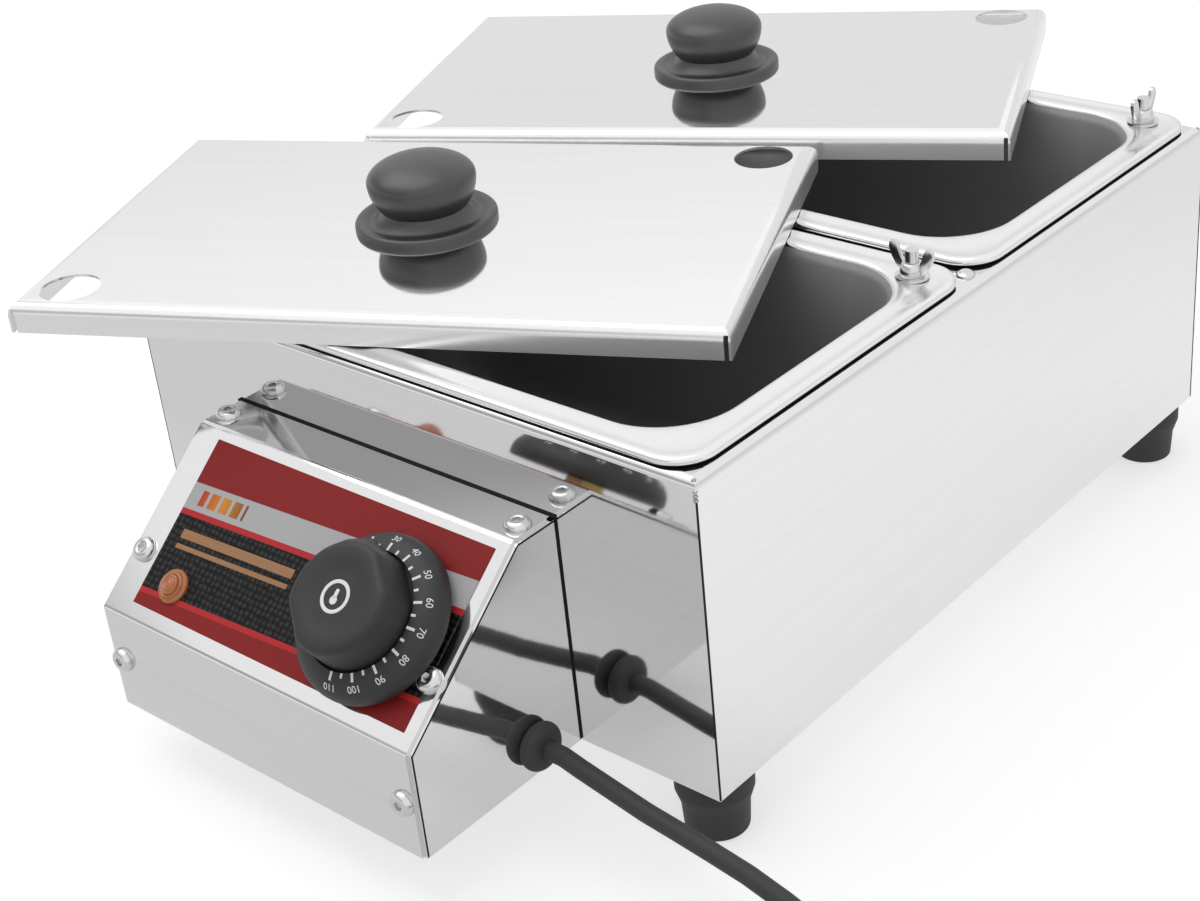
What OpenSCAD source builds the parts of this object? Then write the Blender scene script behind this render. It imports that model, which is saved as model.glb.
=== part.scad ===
// Chocolate melting tank: two pans with loose lids over a heated casing, and a slanted control box in front.
// Millimetres. +Z is up, the front faces -Y and the feet stand on z = 0.
// The origin is the middle of the footprint box, with both lids lying ajar as they are left at work.

/* [Pans] */
// Length of a pan's flange, along X
pan_l = 265; // [250:1:300]
// Width of a pan's flange, along Y
pan_w = 162; // [150:1:180]
// Depth of a pan, from the top of its flange to its underside
pan_depth = 100; // [80:1:104]
// Width of the flange between the rolled rim's outside and the bowl's mouth
flange_w = 12; // [11:0.5:15]
// Outer corner radius of the flange
flange_r = 15; // [12:1:20]
// Corner radius of the bowl's mouth
bowl_r = 30; // [28:1:36]
// Thickness of a pan's sheet
pan_t = 1; // [0.6:0.1:1.4]
// Height of the rolled rim, which carries the flange over the casing
rim_h = 3.5; // [3:0.5:5]
// Gap between the rims of the two pans
pan_gap = 5; // [4:0.5:8]
// Distance from a stud to the end of the flange, along X
stud_inset_x = 16; // [14:0.5:17]
// Distance from a stud to the side of the flange, along Y
stud_inset_y = 14; // [13:0.5:15]

/* [Casing] */
// Margin of the casing outside the pans' rims, left and right
side_margin = 3.5; // [3:0.5:12]
// Margin of the casing outside the pans' rims, front and rear
end_margin = 0.8; // [0.6:0.2:8]
// Height of the space below the pans, for the heating pads and the insulation
heat_room = 27; // [24:0.5:60]
// Thickness of the steel sheet of the casing and the control box
sheet_t = 1; // [0.6:0.1:1.4]
// Outer radius of the bend along the casing's top
top_bend_r = 3.5; // [2:0.5:3.5]
// Width of the turned-in edge along the casing's bottom
bottom_return_w = 22; // [20:1:30]
// Thickness of the insulation mat
mat_t = 8; // [4:1:9]

/* [Control box] */
// Width of the control box
box_w = 159; // [150:1:190]
// Height of the control box
box_h = 91.5; // [88:0.5:105]
// Distance that the control box stands out from the casing
box_d = 77.8; // [74:0.2:90]
// Depth of the level strip on top of the control box
box_top_d = 19; // [17:0.5:22]
// Height of the upright front below the slanted face
knee_h = 42; // [36:1:44]
// Sideways place of the control box from the casing's middle
box_x = -5; // [-20:1:10]
// Outer radius of the cover's bends
cover_bend_r = 3; // [2:0.5:5]
// Distance from the label to the left edge of the slanted face
label_left = 14; // [13:0.5:20]
// Distance from the label to the right edge of the slanted face
label_right = 6.5; // [6:0.5:14]
// Height of the label on the slanted face
label_h = 66; // [60:1:68]

/* [Dial] */
// Diameter of the dial's skirt
dial_d = 59.5; // [50:0.5:62]
// Diameter of the grip at its foot
grip_d = 41; // [30:1:44]
// Height of the grip over the slanted face
grip_h = 27; // [20:1:32]

/* [Lids] */
// Length by which a lid is longer than a pan's flange
lid_over_l = 5; // [4:0.5:30]
// Width by which a lid is wider than a pan's flange
lid_over_w = 3; // [2.5:0.5:4.5]
// Height of a lid's rim
lid_h = 11.5; // [10:0.5:18]
// Thickness of a lid's sheet
lid_t = 1; // [0.6:0.1:1.4]
// Diameter of the lid's holes that let the wing nuts through
lid_hole_d = 23; // [22:0.5:26]
// Turn of the lids from above as they lie ajar
lid_turn = 25.6; // [24:0.1:27]
// Diameter of the lid knob's brim
knob_brim_d = 54.5; // [44:0.5:60]
// Largest diameter of the lid knob's bulb
knob_bulb_d = 41.5; // [36:0.5:44]
// Height of the lid knob
knob_h = 26.5; // [24:0.5:40]

/* [Feet and cord] */
// Height of a foot
foot_h = 24; // [18:1:32]
// Diameter of a foot at its top
foot_top_d = 28; // [25:0.5:32]
// Diameter of a foot at the floor
foot_base_d = 23; // [20:0.5:25]
// Distance from a foot's middle to the casing's sides
foot_inset = 14; // [14:0.5:17]
// Diameter of the cord
cord_d = 7; // [6:0.5:7]

/* [Hidden] */
$fn = 64;

// Colours as the photograph shows them
steel = [0.80, 0.81, 0.82];
bright = [0.90, 0.90, 0.91];
charcoal = [0.20, 0.20, 0.21];
black = [0.08, 0.08, 0.085];
amber = [0.75, 0.36, 0.12];
label_red = [0.56, 0.14, 0.16];
cream = [0.86, 0.83, 0.74];
brass = [0.74, 0.60, 0.32];

// Clearances and the overrun of every cut
overrun = 1;
fit_gap = 0.3;
slide_gap = 0.2;
rest_gap = 0.25;

// Main places that follow from the driving sizes
pan_pitch = pan_w + pan_gap;
casing_w = pan_l + 2 * side_margin;
casing_d = pan_pitch + pan_w + 2 * end_margin;
casing_h = heat_room + pan_depth - rim_h;
front_y = -casing_d / 2;
floor_z = foot_h;
casing_top = foot_h + casing_h;
flange_top = casing_top + rim_h;
pan_ys = [-pan_pitch / 2, pan_pitch / 2];

// Bowl: a short flare at the mouth, then walls that taper to a rounded base
mouth_l = pan_l - 2 * flange_w;
mouth_w = pan_w - 2 * flange_w;
flare = 2;
flare_h = 4;
wall_taper = 6;
base_corner_r = 26;
base_edge_r = 14;
hull_fn = 32;
edge_fn = 16;
opening_gap = 1.5;
opening_r = bowl_r + pan_t + opening_gap;
pan_under = flange_top - pan_depth;

// Studs, washers and wing nuts on the flanges
stud_x = pan_l / 2 - stud_inset_x;
stud_y = pan_w / 2 - stud_inset_y;
stud_d = 5;
stud_top = 9.5;
stud_base_d = 9;
stud_base_t = 1.5;
washer_d = 12.5;
washer_t = 1;
nut_hub_d = 9;
nut_hub_h = 6.5;
wing_span = 20;
wing_h = 11.2;
wing_t = 2.2;
wing_tip_r = 3.4;
front_nut_turn = -6;
rear_nut_turn = 92;

// Rail under the web between the two pan openings
rail_w = 20;
rail_skirt_h = 12;
rivet_inset = 8;
rivet_d = 4;
rivet_head_d = 7;
rivet_head_h = 1.6;
rivet_tail_d = 5.5;
rivet_tail_h = 1.5;

// Heating pads below the pans
pad_margin = 7;
pad_t = 3;
pad_r = 10;
pad_l = mouth_l - 2 * (flare + wall_taper + base_edge_r + pad_margin);
pad_w = mouth_w - 2 * (flare + wall_taper + base_edge_r) - pad_margin;
pad_z = pan_under - pad_t;

// Control box: its profile runs from the casing's front along the top, the slanted face and the upright front
slope = atan2(box_h - knee_h, box_d - box_top_d);
bend_steps = 6;
top_bend = [-(box_top_d - cover_bend_r * tan(slope / 2)), box_h - cover_bend_r];
knee_bend = [-(box_d - cover_bend_r), knee_h - cover_bend_r * tan((90 - slope) / 2)];
box_left = box_x - box_w / 2;
box_right = box_x + box_w / 2;
cover_seam = 1.6;
box_flange_w = 14;
box_rear_flange_w = 12;

// Cover screws: button heads along both edges
screw_d = 5;
screw_head_d = 9.6;
screw_head_h = 2.7;
screw_flat_d = 5;
screw_socket_af_d = 3.6;
screw_socket_h = 1.6;
screw_l = 8;
screw_inset = 6.6;
top_screw_y = 11;
face_screw_v = 25.2;
low_screw_z = 21;

// Label, pilot lamp and dial, placed on the slanted face from its lower left corner
label_t = 0.4;
label_w = box_w - label_left - label_right;
label_u = label_left + label_w / 2;
label_v = 39.5;
pilot_u = 29.2;
pilot_v = 17.4;
pilot_d = 10;
pilot_lens_d = 13;
pilot_lens_h = 4;
pilot_rim_h = 1.2;
pilot_body_l = 28;
dial_inset = 35.3;
dial_u = box_w - dial_inset;
dial_v = 35.5;
dial_gap = 0.5;
skirt_edge_t = 2.2;
skirt_dome_h = 8;
grip_draft = 1;
grip_edge_r = 2.5;
grip_flat_share = 0.9;
grip_flat_angle = 135;
pointer_l = 5;
pointer_h = 13;
pointer_angle = 113;
recess_d = 20;
recess_h = 6;

// Thermostat behind the dial
bush_d = 10;
bush_l = 6;
bush_nut_d = 16;
bush_nut_h = 3;
shaft_d = 6;
shaft_bore_depth = 16;
thermostat_l = 36;
thermostat_w = 32;
thermostat_h = 24;
bulb_d = 6;
bulb_l = 70;
bulb_rise = 18;
bulb_z = heat_room + bulb_rise;
capillary_d = 2.4;
capillary_u = 9;
capillary_bend = 8;

// Terminal block, wires and the grommet in the casing's front wall
block_l = 40;
block_w = 16;
block_h = 16;
block_inset = 49.5;
block_x = box_right - block_inset;
block_hole_d = 3;
wire_d = 4;
wire_web = 1;
wire_bend = 8;
grommet_d = 14;
grommet_flange_d = 18;
grommet_flange_t = 1.5;
wire_z = 13;
block_hole_shares = [0.25, 0.75];
box_rivet_z_shares = [0.25, 0.75];
box_rivet_inset = 6;

// Feet and their screws
foot_collar_h = 7;
foot_flare_h = 5.5;
foot_neck_d = 24.5;
foot_bore_d = 11;
foot_web_h = 8;
foot_screw_d = 5;
foot_head_d = 9;
foot_head_h = 4;
foot_nut_af_d = 9.2;
foot_nut_h = 4;

// Lids as they lie ajar: middle of each lid from the casing's middle
lid_length = pan_l + lid_over_l;
lid_w = pan_w + lid_over_w;
front_lid_at = [-56, -85];
rear_lid_at = [-63.5, 103];
rear_lid_drop = 0.9;
rear_front_up = 1.42;
rear_right_up = 0.44;
lid_bend_r = 2.5;
lid_slit_w = 1.6;
knob_brim_t = 3;
knob_neck_d = 33;
knob_fillet = 3.5;
knob_bulb_half_h = 9;
knob_steps = 12;
knob_screw_d = 4;
knob_screw_head_d = 8;
knob_screw_head_h = 2.5;
knob_screw_l = 14;

// Cord gland on the right side of the control box
gland_y = 23;
gland_z = 13;
gland_d = 18;
gland_t = 6.6;
gland_edge_r = 3;
gland_neck_d = 11;
gland_inner_d = 14;
gland_inner_t = 3;

// Free cord, from the casing's middle on the floor: it leaves the gland level and sags to the floor
cord_start = [box_right + gland_t, front_y - gland_y, foot_h + gland_z];
cord_route = [[96, -188.4, 35.2], [110, -188.6, 32.6], [124, -188.8, 30], [138, -189, 28.4],
    [152, -189.2, 26.6], [166, -189.3, 24.4], [180, -189.3, 20.6], [194, -189.2, 15.4], [208, -189.1, 10],
    [222, -189, 5.4]];
cord_sides = 10;

// Coil: two layers that spiral in on the floor, climb in the half turn of the reversal and spiral out on top
coil_at = [241, -236];
coil_r = 47;
coil_pitch = 7.6;
coil_rise = 7.5;
coil_turns = 4.25;
coil_climb_share = 0.5;
coil_rings = 24;
coil_sides = 6;
coil_floor_gap = 0.1;
coil_tail = 24;
coil_z = cord_d / 2 + coil_floor_gap;

// Plug with three round pins, lying level with the coil's upper layer
plug_l = 34;
plug_w = 36;
plug_h = 2 * (coil_z + coil_rise);
plug_chamfer_share = 0.24;
plug_relief_l = 24;
plug_relief_d = 12;
plug_relief_tip_d = 9;
pin_d = 4;
pin_l = 19;
pin_pitch = 19;
pin_offset = 3;

// Footprint: the lids reach furthest left and rearward, the casing right, and the lower cover screws forward
function turned(p, a) = [p[0] * cos(a) - p[1] * sin(a), p[0] * sin(a) + p[1] * cos(a)];
lid_corner_left = turned([-lid_length / 2, lid_w / 2], lid_turn)[0];
lid_corner_rear = turned([lid_length / 2, lid_w / 2], lid_turn)[1];
reach_left = min(front_lid_at[0], rear_lid_at[0]) + lid_corner_left;
reach_rear = rear_lid_at[1] + lid_corner_rear;
reach_front = front_y - box_d - screw_head_h;
tank_at = [-(reach_left + casing_w / 2) / 2, -(reach_rear + reach_front) / 2, 0];

// Plain helpers

function arc(c, r, a0, a1, n) = [for (i = [0:n])
    let (a = a0 + (a1 - a0) * i / n) c + r * [cos(a), sin(a)]];
function reversed(v) = [for (i = [len(v) - 1:-1:0]) v[i]];
function unit(v) = v / norm(v);
function heading(p, i) = unit(p[min(i + 1, len(p) - 1)] - p[max(i - 1, 0)]);

// Moves a piece from the casing's middle to the part's frame
module at_tank() {
    translate(tank_at) children();
}

// Outline of a rectangle with round corners
module rounded(l, w, r) {
    square([l - 2 * r, w], center = true);
    square([l, w - 2 * r], center = true);
    for (x = [-1, 1], y = [-1, 1]) translate([x * (l / 2 - r), y * (w / 2 - r)]) circle(r);
}

// Upright section with rounded top corners
module arch(w, h, r) {
    translate([-w / 2, 0]) square([w, h - r]);
    translate([-w / 2 + r, 0]) square([w - 2 * r, h]);
    for (x = [-1, 1]) translate([x * (w / 2 - r), h - r]) circle(r);
}

// Box whose four top edges are bent to a radius and mitred at the corners
module bent_box(w, d, h, r) {
    intersection() {
        rotate([90, 0, 0]) linear_extrude(d, center = true) arch(w, h, r);
        rotate([90, 0, 90]) linear_extrude(w, center = true) arch(d, h, r);
    }
}

// Section swept round a rectangle with round corners; the section's x = 0 follows the outline
module ring_sweep(l, w, r) {
    for (i = [0:3]) {
        side = i % 2 == 0 ? [l, w] : [w, l];
        rotate(90 * i) {
            translate([side[0] / 2 - r, side[1] / 2 - r, 0]) rotate_extrude(angle = 90) translate([r, 0])
                children();
            translate([side[0] / 2, side[1] / 2 - r, 0]) rotate([90, 0, 0])
                linear_extrude(side[1] - 2 * r) children();
        }
    }
}

// Tube of a given number of sides swept along points, with its rings held square to the reference direction
module tube(points, d, sides, ref) {
    rings = [for (i = [0:len(points) - 1])
        let (t = heading(points, i), n = unit(ref - (ref * t) * t), b = cross(t, n))
        for (k = [0:sides - 1]) points[i] + d / 2 * (cos(360 * k / sides) * n + sin(360 * k / sides) * b)];
    last = (len(points) - 1) * sides;
    walls = [for (i = [0:len(points) - 2], k = [0:sides - 1])
        let (a = i * sides + k, b = i * sides + (k + 1) % sides)
        each [[a, b, b + sides], [a, b + sides, a + sides]]];
    ends = [for (k = [1:sides - 2]) each [[0, k + 1, k], [last, last + k, last + k + 1]]];
    polyhedron(rings, [for (f = concat(walls, ends)) reversed(f)]);
}

// Places on the slanted face: u to the right from its left edge, v up the slope from the knee, z outward
module on_face(u, v) {
    translate([box_left + u, front_y - box_d, floor_z + knee_h]) rotate([slope, 0, 0])
        translate([0, v, 0]) children();
}

// Casing

module foot_places() {
    for (x = [-1, 1], y = [-1, 1])
        translate([x * (casing_w / 2 - foot_inset), y * (casing_d / 2 - foot_inset), 0]) children();
}

module stud_places() {
    for (y = pan_ys) translate([stud_x, y + stud_y, 0]) children();
}

module rivet_places() {
    for (x = [-1, 1]) translate([x * (casing_w / 2 - rivet_inset), 0, 0]) children();
}

module pan_opening() {
    linear_extrude(casing_h)
        rounded(mouth_l + 2 * (pan_t + opening_gap), mouth_w + 2 * (pan_t + opening_gap), opening_r);
}

module casing_shell() {
    inner_w = casing_w - 2 * sheet_t;
    inner_d = casing_d - 2 * sheet_t;
    color(steel) at_tank() difference() {
        union() {
            translate([0, 0, floor_z]) difference() {
                bent_box(casing_w, casing_d, casing_h, top_bend_r);
                translate([0, 0, -overrun])
                    bent_box(inner_w, inner_d, casing_h - sheet_t + overrun, top_bend_r - sheet_t);
            }
            translate([0, 0, floor_z + sheet_t]) linear_extrude(sheet_t) difference() {
                square([inner_w + sheet_t, inner_d + sheet_t], center = true);
                square([inner_w - 2 * bottom_return_w, inner_d - 2 * bottom_return_w], center = true);
            }
        }
        for (y = pan_ys) translate([0, y, casing_top - casing_h / 2]) pan_opening();
        stud_places() translate([0, 0, casing_top - casing_h / 2])
            cylinder(d = stud_d + 2 * slide_gap, h = casing_h);
        rivet_places() translate([0, 0, casing_top - casing_h / 2])
            cylinder(d = rivet_d + 2 * slide_gap, h = casing_h);
        foot_places() translate([0, 0, floor_z - overrun])
            cylinder(d = foot_screw_d + 2 * fit_gap, h = bottom_return_w);
        wall_hole(grommet_d, [block_x, floor_z + wire_z]);
        wall_hole(capillary_d + 2 * fit_gap, [capillary_x, floor_z + bulb_z]);
        for (p = box_rivet_spots) wall_hole(rivet_d + 2 * slide_gap, p);
    }
}

// Hole through the casing's front wall at [x, z]
module wall_hole(d, p) {
    translate([p[0], front_y + sheet_t + overrun, p[1]]) rotate([90, 0, 0])
        cylinder(d = d, h = sheet_t + 2 * overrun);
}

module base_plate() {
    color(steel) at_tank() difference() {
        translate([0, 0, floor_z]) linear_extrude(sheet_t)
            square([casing_w - 2 * sheet_t - 2 * fit_gap, casing_d - 2 * sheet_t - 2 * fit_gap],
                center = true);
        foot_places() translate([0, 0, floor_z - overrun])
            cylinder(d = foot_screw_d + 2 * fit_gap, h = sheet_t + 2 * overrun);
    }
}

module cross_rail() {
    rail_l = casing_w - 2 * top_bend_r - 2 * fit_gap;
    rail_top = casing_top - sheet_t;
    color(steel) at_tank() difference() {
        translate([0, 0, rail_top - rail_skirt_h]) rotate([90, 0, 90]) linear_extrude(rail_l, center = true)
            difference() {
                translate([-rail_w / 2, 0]) square([rail_w, rail_skirt_h]);
                translate([-rail_w / 2 + sheet_t, -overrun])
                    square([rail_w - 2 * sheet_t, rail_skirt_h - sheet_t + overrun]);
            }
        rivet_places() translate([0, 0, rail_top - rail_skirt_h])
            cylinder(d = rivet_d + 2 * slide_gap, h = rail_skirt_h + overrun);
    }
}

// Rivet set along +Z through a grip of the given thickness, its head's seat at z = 0
module rivet(grip) {
    cylinder(d1 = rivet_head_d, d2 = rivet_d, h = rivet_head_h);
    translate([0, 0, -grip]) cylinder(d = rivet_d, h = grip + rivet_head_h / 2);
    translate([0, 0, -grip - rivet_tail_h]) cylinder(d = rivet_tail_d, h = rivet_tail_h);
}

module rail_rivets() {
    color(bright) at_tank() rivet_places() translate([0, 0, casing_top]) rivet(2 * sheet_t);
}

module insulation_mat() {
    color(cream) at_tank() translate([0, 0, floor_z + sheet_t]) linear_extrude(mat_t)
        square([casing_w - 2 * (sheet_t + bottom_return_w + fit_gap),
            casing_d - 2 * (sheet_t + bottom_return_w + fit_gap)], center = true);
}

// Pans, their heaters and the nuts that hold them

// Solid of the bowl, widened all round by grow, from below the mouth's flare to its base
module bowl_body(grow) {
    r = bowl_r - flare + grow;
    l = mouth_l - 2 * flare + 2 * grow;
    w = mouth_w - 2 * flare + 2 * grow;
    base_l = mouth_l - 2 * (flare + wall_taper) + 2 * grow;
    base_w = mouth_w - 2 * (flare + wall_taper) + 2 * grow;
    hull() for (x = [-1, 1], y = [-1, 1]) {
        translate([x * (l / 2 - r), y * (w / 2 - r), flange_top - flare_h - pan_t])
            cylinder(r = r, h = pan_t, $fn = hull_fn);
        translate([x * (base_l / 2 - base_corner_r), y * (base_w / 2 - base_corner_r),
            pan_under + pan_t - grow + base_edge_r])
            rotate_extrude($fn = hull_fn) intersection() {
                translate([base_corner_r - base_edge_r, 0]) circle(base_edge_r, $fn = edge_fn);
                translate([0, -base_edge_r]) square([base_corner_r, 2 * base_edge_r]);
            }
    }
}

// Solid of the flare at the bowl's mouth, widened all round by grow, up to rise over the flange
module bowl_mouth(grow, rise) {
    r = bowl_r + grow;
    hull() for (x = [-1, 1], y = [-1, 1]) {
        translate([x * (mouth_l / 2 - bowl_r), y * (mouth_w / 2 - bowl_r), flange_top - pan_t / 2])
            cylinder(r = r, h = pan_t / 2 + rise, $fn = hull_fn);
        translate([x * (mouth_l / 2 - bowl_r), y * (mouth_w / 2 - bowl_r), flange_top - flare_h - pan_t])
            cylinder(r = r - flare, h = pan_t, $fn = hull_fn);
    }
}

module pan(y) {
    at_tank() translate([0, y, 0]) difference() {
        union() {
            translate([0, 0, casing_top]) ring_sweep(pan_l, pan_w, flange_r)
                translate([-rim_h / 2, rim_h / 2]) circle(d = rim_h);
            translate([0, 0, flange_top - pan_t]) linear_extrude(pan_t)
                rounded(pan_l - rim_h, pan_w - rim_h, flange_r - rim_h / 2);
            bowl_mouth(pan_t, 0);
            bowl_body(pan_t);
        }
        bowl_mouth(0, overrun);
        bowl_body(0);
        translate([stud_x, stud_y, flange_top - 2 * pan_t])
            cylinder(d = stud_d + 2 * fit_gap, h = 2 * pan_t + overrun);
    }
}

module front_pan() { color(charcoal) pan(pan_ys[0]); }
module rear_pan() { color(charcoal) pan(pan_ys[1]); }

module heater(y) {
    at_tank() translate([0, y, pad_z]) linear_extrude(pad_t) rounded(pad_l, pad_w, pad_r);
}

module front_heater() { color(label_red) heater(pan_ys[0]); }
module rear_heater() { color(label_red) heater(pan_ys[1]); }

module pan_studs() {
    color(bright) at_tank() stud_places() {
        translate([0, 0, casing_top - sheet_t - stud_base_t]) cylinder(d = stud_base_d, h = stud_base_t);
        translate([0, 0, casing_top - sheet_t - stud_base_t])
            cylinder(d = stud_d, h = stud_base_t + sheet_t + rim_h + washer_t + stud_top);
    }
}

module stud_washers() {
    color(bright) at_tank() stud_places() translate([0, 0, flange_top]) difference() {
        cylinder(d = washer_d, h = washer_t);
        translate([0, 0, -overrun]) cylinder(d = stud_d + 2 * slide_gap, h = washer_t + 2 * overrun);
    }
}

module wing_nut(y, turn) {
    tip_x = wing_span / 2 - wing_tip_r;
    tip_z = wing_h - wing_tip_r;
    at_tank() translate([stud_x, y + stud_y, flange_top + washer_t]) rotate(turn) difference() {
        union() {
            cylinder(d1 = nut_hub_d, d2 = nut_hub_d - wing_t / 2, h = nut_hub_h);
            for (x = [0, 1]) mirror([x, 0, 0]) rotate([90, 0, 0]) linear_extrude(wing_t, center = true) {
                translate([tip_x, tip_z]) circle(wing_tip_r);
                polygon([[stud_d / 2, wing_t / 2], [tip_x + wing_tip_r, tip_z], [tip_x - wing_tip_r, tip_z],
                    [stud_d / 2, nut_hub_h]]);
            }
        }
        translate([0, 0, -overrun]) cylinder(d = stud_d + 2 * slide_gap, h = wing_h + 2 * overrun);
    }
}

module front_wing_nut() { color(bright) wing_nut(pan_ys[0], front_nut_turn); }
module rear_wing_nut() { color(bright) wing_nut(pan_ys[1], rear_nut_turn); }

// Control box

// Outer line of the box's profile, moved inward by inset: x runs forward as minus, y up
function profile_edge(inset) = concat([[0, box_h - inset]],
    arc(top_bend, cover_bend_r - inset, 90, 90 + slope, bend_steps),
    arc(knee_bend, cover_bend_r - inset, 90 + slope, 180, bend_steps),
    [[-(box_d - inset), 0]]);

// Profile drawn in the box's side view and pulled along X between two places
module along_box(x0, x1) {
    translate([x0, front_y, floor_z]) rotate([90, 0, 90]) linear_extrude(x1 - x0) children();
}

module skin(inset) {
    polygon(concat(profile_edge(inset), reversed(profile_edge(inset + sheet_t))));
}

module cover_screw_places() {
    for (x = [box_left + screw_inset, box_right - screw_inset]) {
        translate([x, front_y - top_screw_y, floor_z + box_h]) children();
        on_face(x - box_left, face_screw_v) children();
        translate([x, front_y - box_d, floor_z + low_screw_z]) rotate([90, 0, 0]) children();
    }
}

box_rivet_spots = [for (x = [box_left + box_rivet_inset, box_right - box_rivet_inset],
    s = box_rivet_z_shares) [x, floor_z + s * box_h]];

module control_body() {
    color(steel) at_tank() difference() {
        union() {
            for (x = [box_left, box_right - sheet_t])
                along_box(x, x + sheet_t) polygon(concat(profile_edge(sheet_t), [[0, 0]]));
            for (x = [box_left, box_right - box_flange_w]) along_box(x, x + box_flange_w) skin(sheet_t);
            along_box(box_left, box_right) translate([-(box_d - sheet_t), 0])
                square([box_d - sheet_t, sheet_t]);
            for (x = [box_left, box_right - box_rear_flange_w])
                along_box(x, x + box_rear_flange_w) translate([-sheet_t, 0])
                    square([sheet_t, box_h - sheet_t]);
        }
        cover_screw_places() translate([0, 0, -screw_l])
            cylinder(d = screw_d + 2 * slide_gap, h = screw_l + overrun);
        translate([box_right - sheet_t - overrun, front_y - gland_y, floor_z + gland_z]) rotate([0, 90, 0])
            cylinder(d = gland_neck_d + 2 * slide_gap, h = sheet_t + 2 * overrun);
        for (p = box_rivet_spots)
            translate([p[0], front_y + overrun, p[1]]) rotate([90, 0, 0])
                cylinder(d = rivet_d + 2 * slide_gap, h = sheet_t + 2 * overrun);
    }
}

module box_rivets() {
    color(bright) at_tank() for (p = box_rivet_spots)
        translate([p[0], front_y - sheet_t, p[1]]) rotate([90, 0, 0]) rivet(2 * sheet_t);
}

module control_cover() {
    color(steel) at_tank() difference() {
        along_box(box_left + cover_seam, box_right - cover_seam) skin(0);
        cover_screw_places() translate([0, 0, -screw_l])
            cylinder(d = screw_d + 2 * slide_gap, h = screw_l + overrun);
        on_face(dial_u, dial_v) translate([0, 0, -bush_l])
            cylinder(d = bush_d + 2 * slide_gap, h = bush_l + overrun);
        on_face(pilot_u, pilot_v) translate([0, 0, -bush_l])
            cylinder(d = pilot_d + 2 * slide_gap, h = bush_l + overrun);
    }
}

module button_screw() {
    difference() {
        union() {
            rotate_extrude() polygon(concat([[0, 0]],
                [for (i = [0:bend_steps]) let (a = 90 * i / bend_steps)
                    [screw_flat_d / 2 + (screw_head_d - screw_flat_d) / 2 * cos(a), screw_head_h * sin(a)]],
                [[0, screw_head_h]]));
            translate([0, 0, -screw_l]) cylinder(d = screw_d, h = screw_l + screw_head_h / 2);
        }
        translate([0, 0, screw_head_h - screw_socket_h])
            cylinder(d = screw_socket_af_d, h = screw_socket_h + overrun, $fn = 6);
    }
}

module cover_screws() {
    color(bright) at_tank() cover_screw_places() button_screw();
}

module label_plate() {
    color(label_red) at_tank() difference() {
        on_face(label_u, label_v) linear_extrude(label_t) square([label_w, label_h], center = true);
        on_face(dial_u, dial_v) translate([0, 0, -overrun])
            cylinder(d = bush_nut_d + 2 * fit_gap, h = label_t + 2 * overrun);
        on_face(pilot_u, pilot_v) translate([0, 0, -overrun])
            cylinder(d = pilot_d + 2 * slide_gap, h = label_t + 2 * overrun);
        cover_screw_places() cylinder(d = screw_head_d + 2 * fit_gap, h = screw_head_h);
    }
}

module pilot_lens() {
    color(amber) at_tank() on_face(pilot_u, pilot_v) translate([0, 0, label_t]) rotate_extrude()
        polygon(concat([[0, 0], [pilot_lens_d / 2, 0], [pilot_lens_d / 2, pilot_rim_h]],
            [for (i = [0:bend_steps]) let (a = 90 * i / bend_steps)
                [pilot_d / 2 * cos(a), pilot_rim_h + (pilot_lens_h - pilot_rim_h) * sin(a)]]));
}

module pilot_body() {
    color(black) at_tank() on_face(pilot_u, pilot_v) translate([0, 0, label_t - pilot_body_l])
        cylinder(d = pilot_d, h = pilot_body_l);
}

module thermostat_body() {
    color(cream) at_tank() on_face(dial_u, dial_v) difference() {
        union() {
            translate([-thermostat_l / 2, -thermostat_w / 2, -sheet_t - thermostat_h])
                cube([thermostat_l, thermostat_w, thermostat_h]);
            translate([0, 0, -sheet_t - thermostat_h / 2])
                cylinder(d = bush_d, h = thermostat_h / 2 + sheet_t + bush_l);
        }
        translate([0, 0, -sheet_t - thermostat_h / 2])
            cylinder(d = shaft_d + 2 * fit_gap, h = thermostat_h);
    }
}

module thermostat_nut() {
    color(brass) at_tank() on_face(dial_u, dial_v) difference() {
        cylinder(d = bush_nut_d, h = bush_nut_h, $fn = 6);
        translate([0, 0, -overrun]) cylinder(d = bush_d + 2 * slide_gap, h = bush_nut_h + 2 * overrun);
    }
}

dial_z = screw_head_h + dial_gap;
skirt_top_z = dial_z + skirt_edge_t + skirt_dome_h;

module thermostat_shaft() {
    color(brass) at_tank() on_face(dial_u, dial_v) translate([0, 0, -sheet_t - thermostat_h / 2 + fit_gap])
        cylinder(d = shaft_d, h = sheet_t + thermostat_h / 2 - fit_gap + dial_z + shaft_bore_depth);
}

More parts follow.
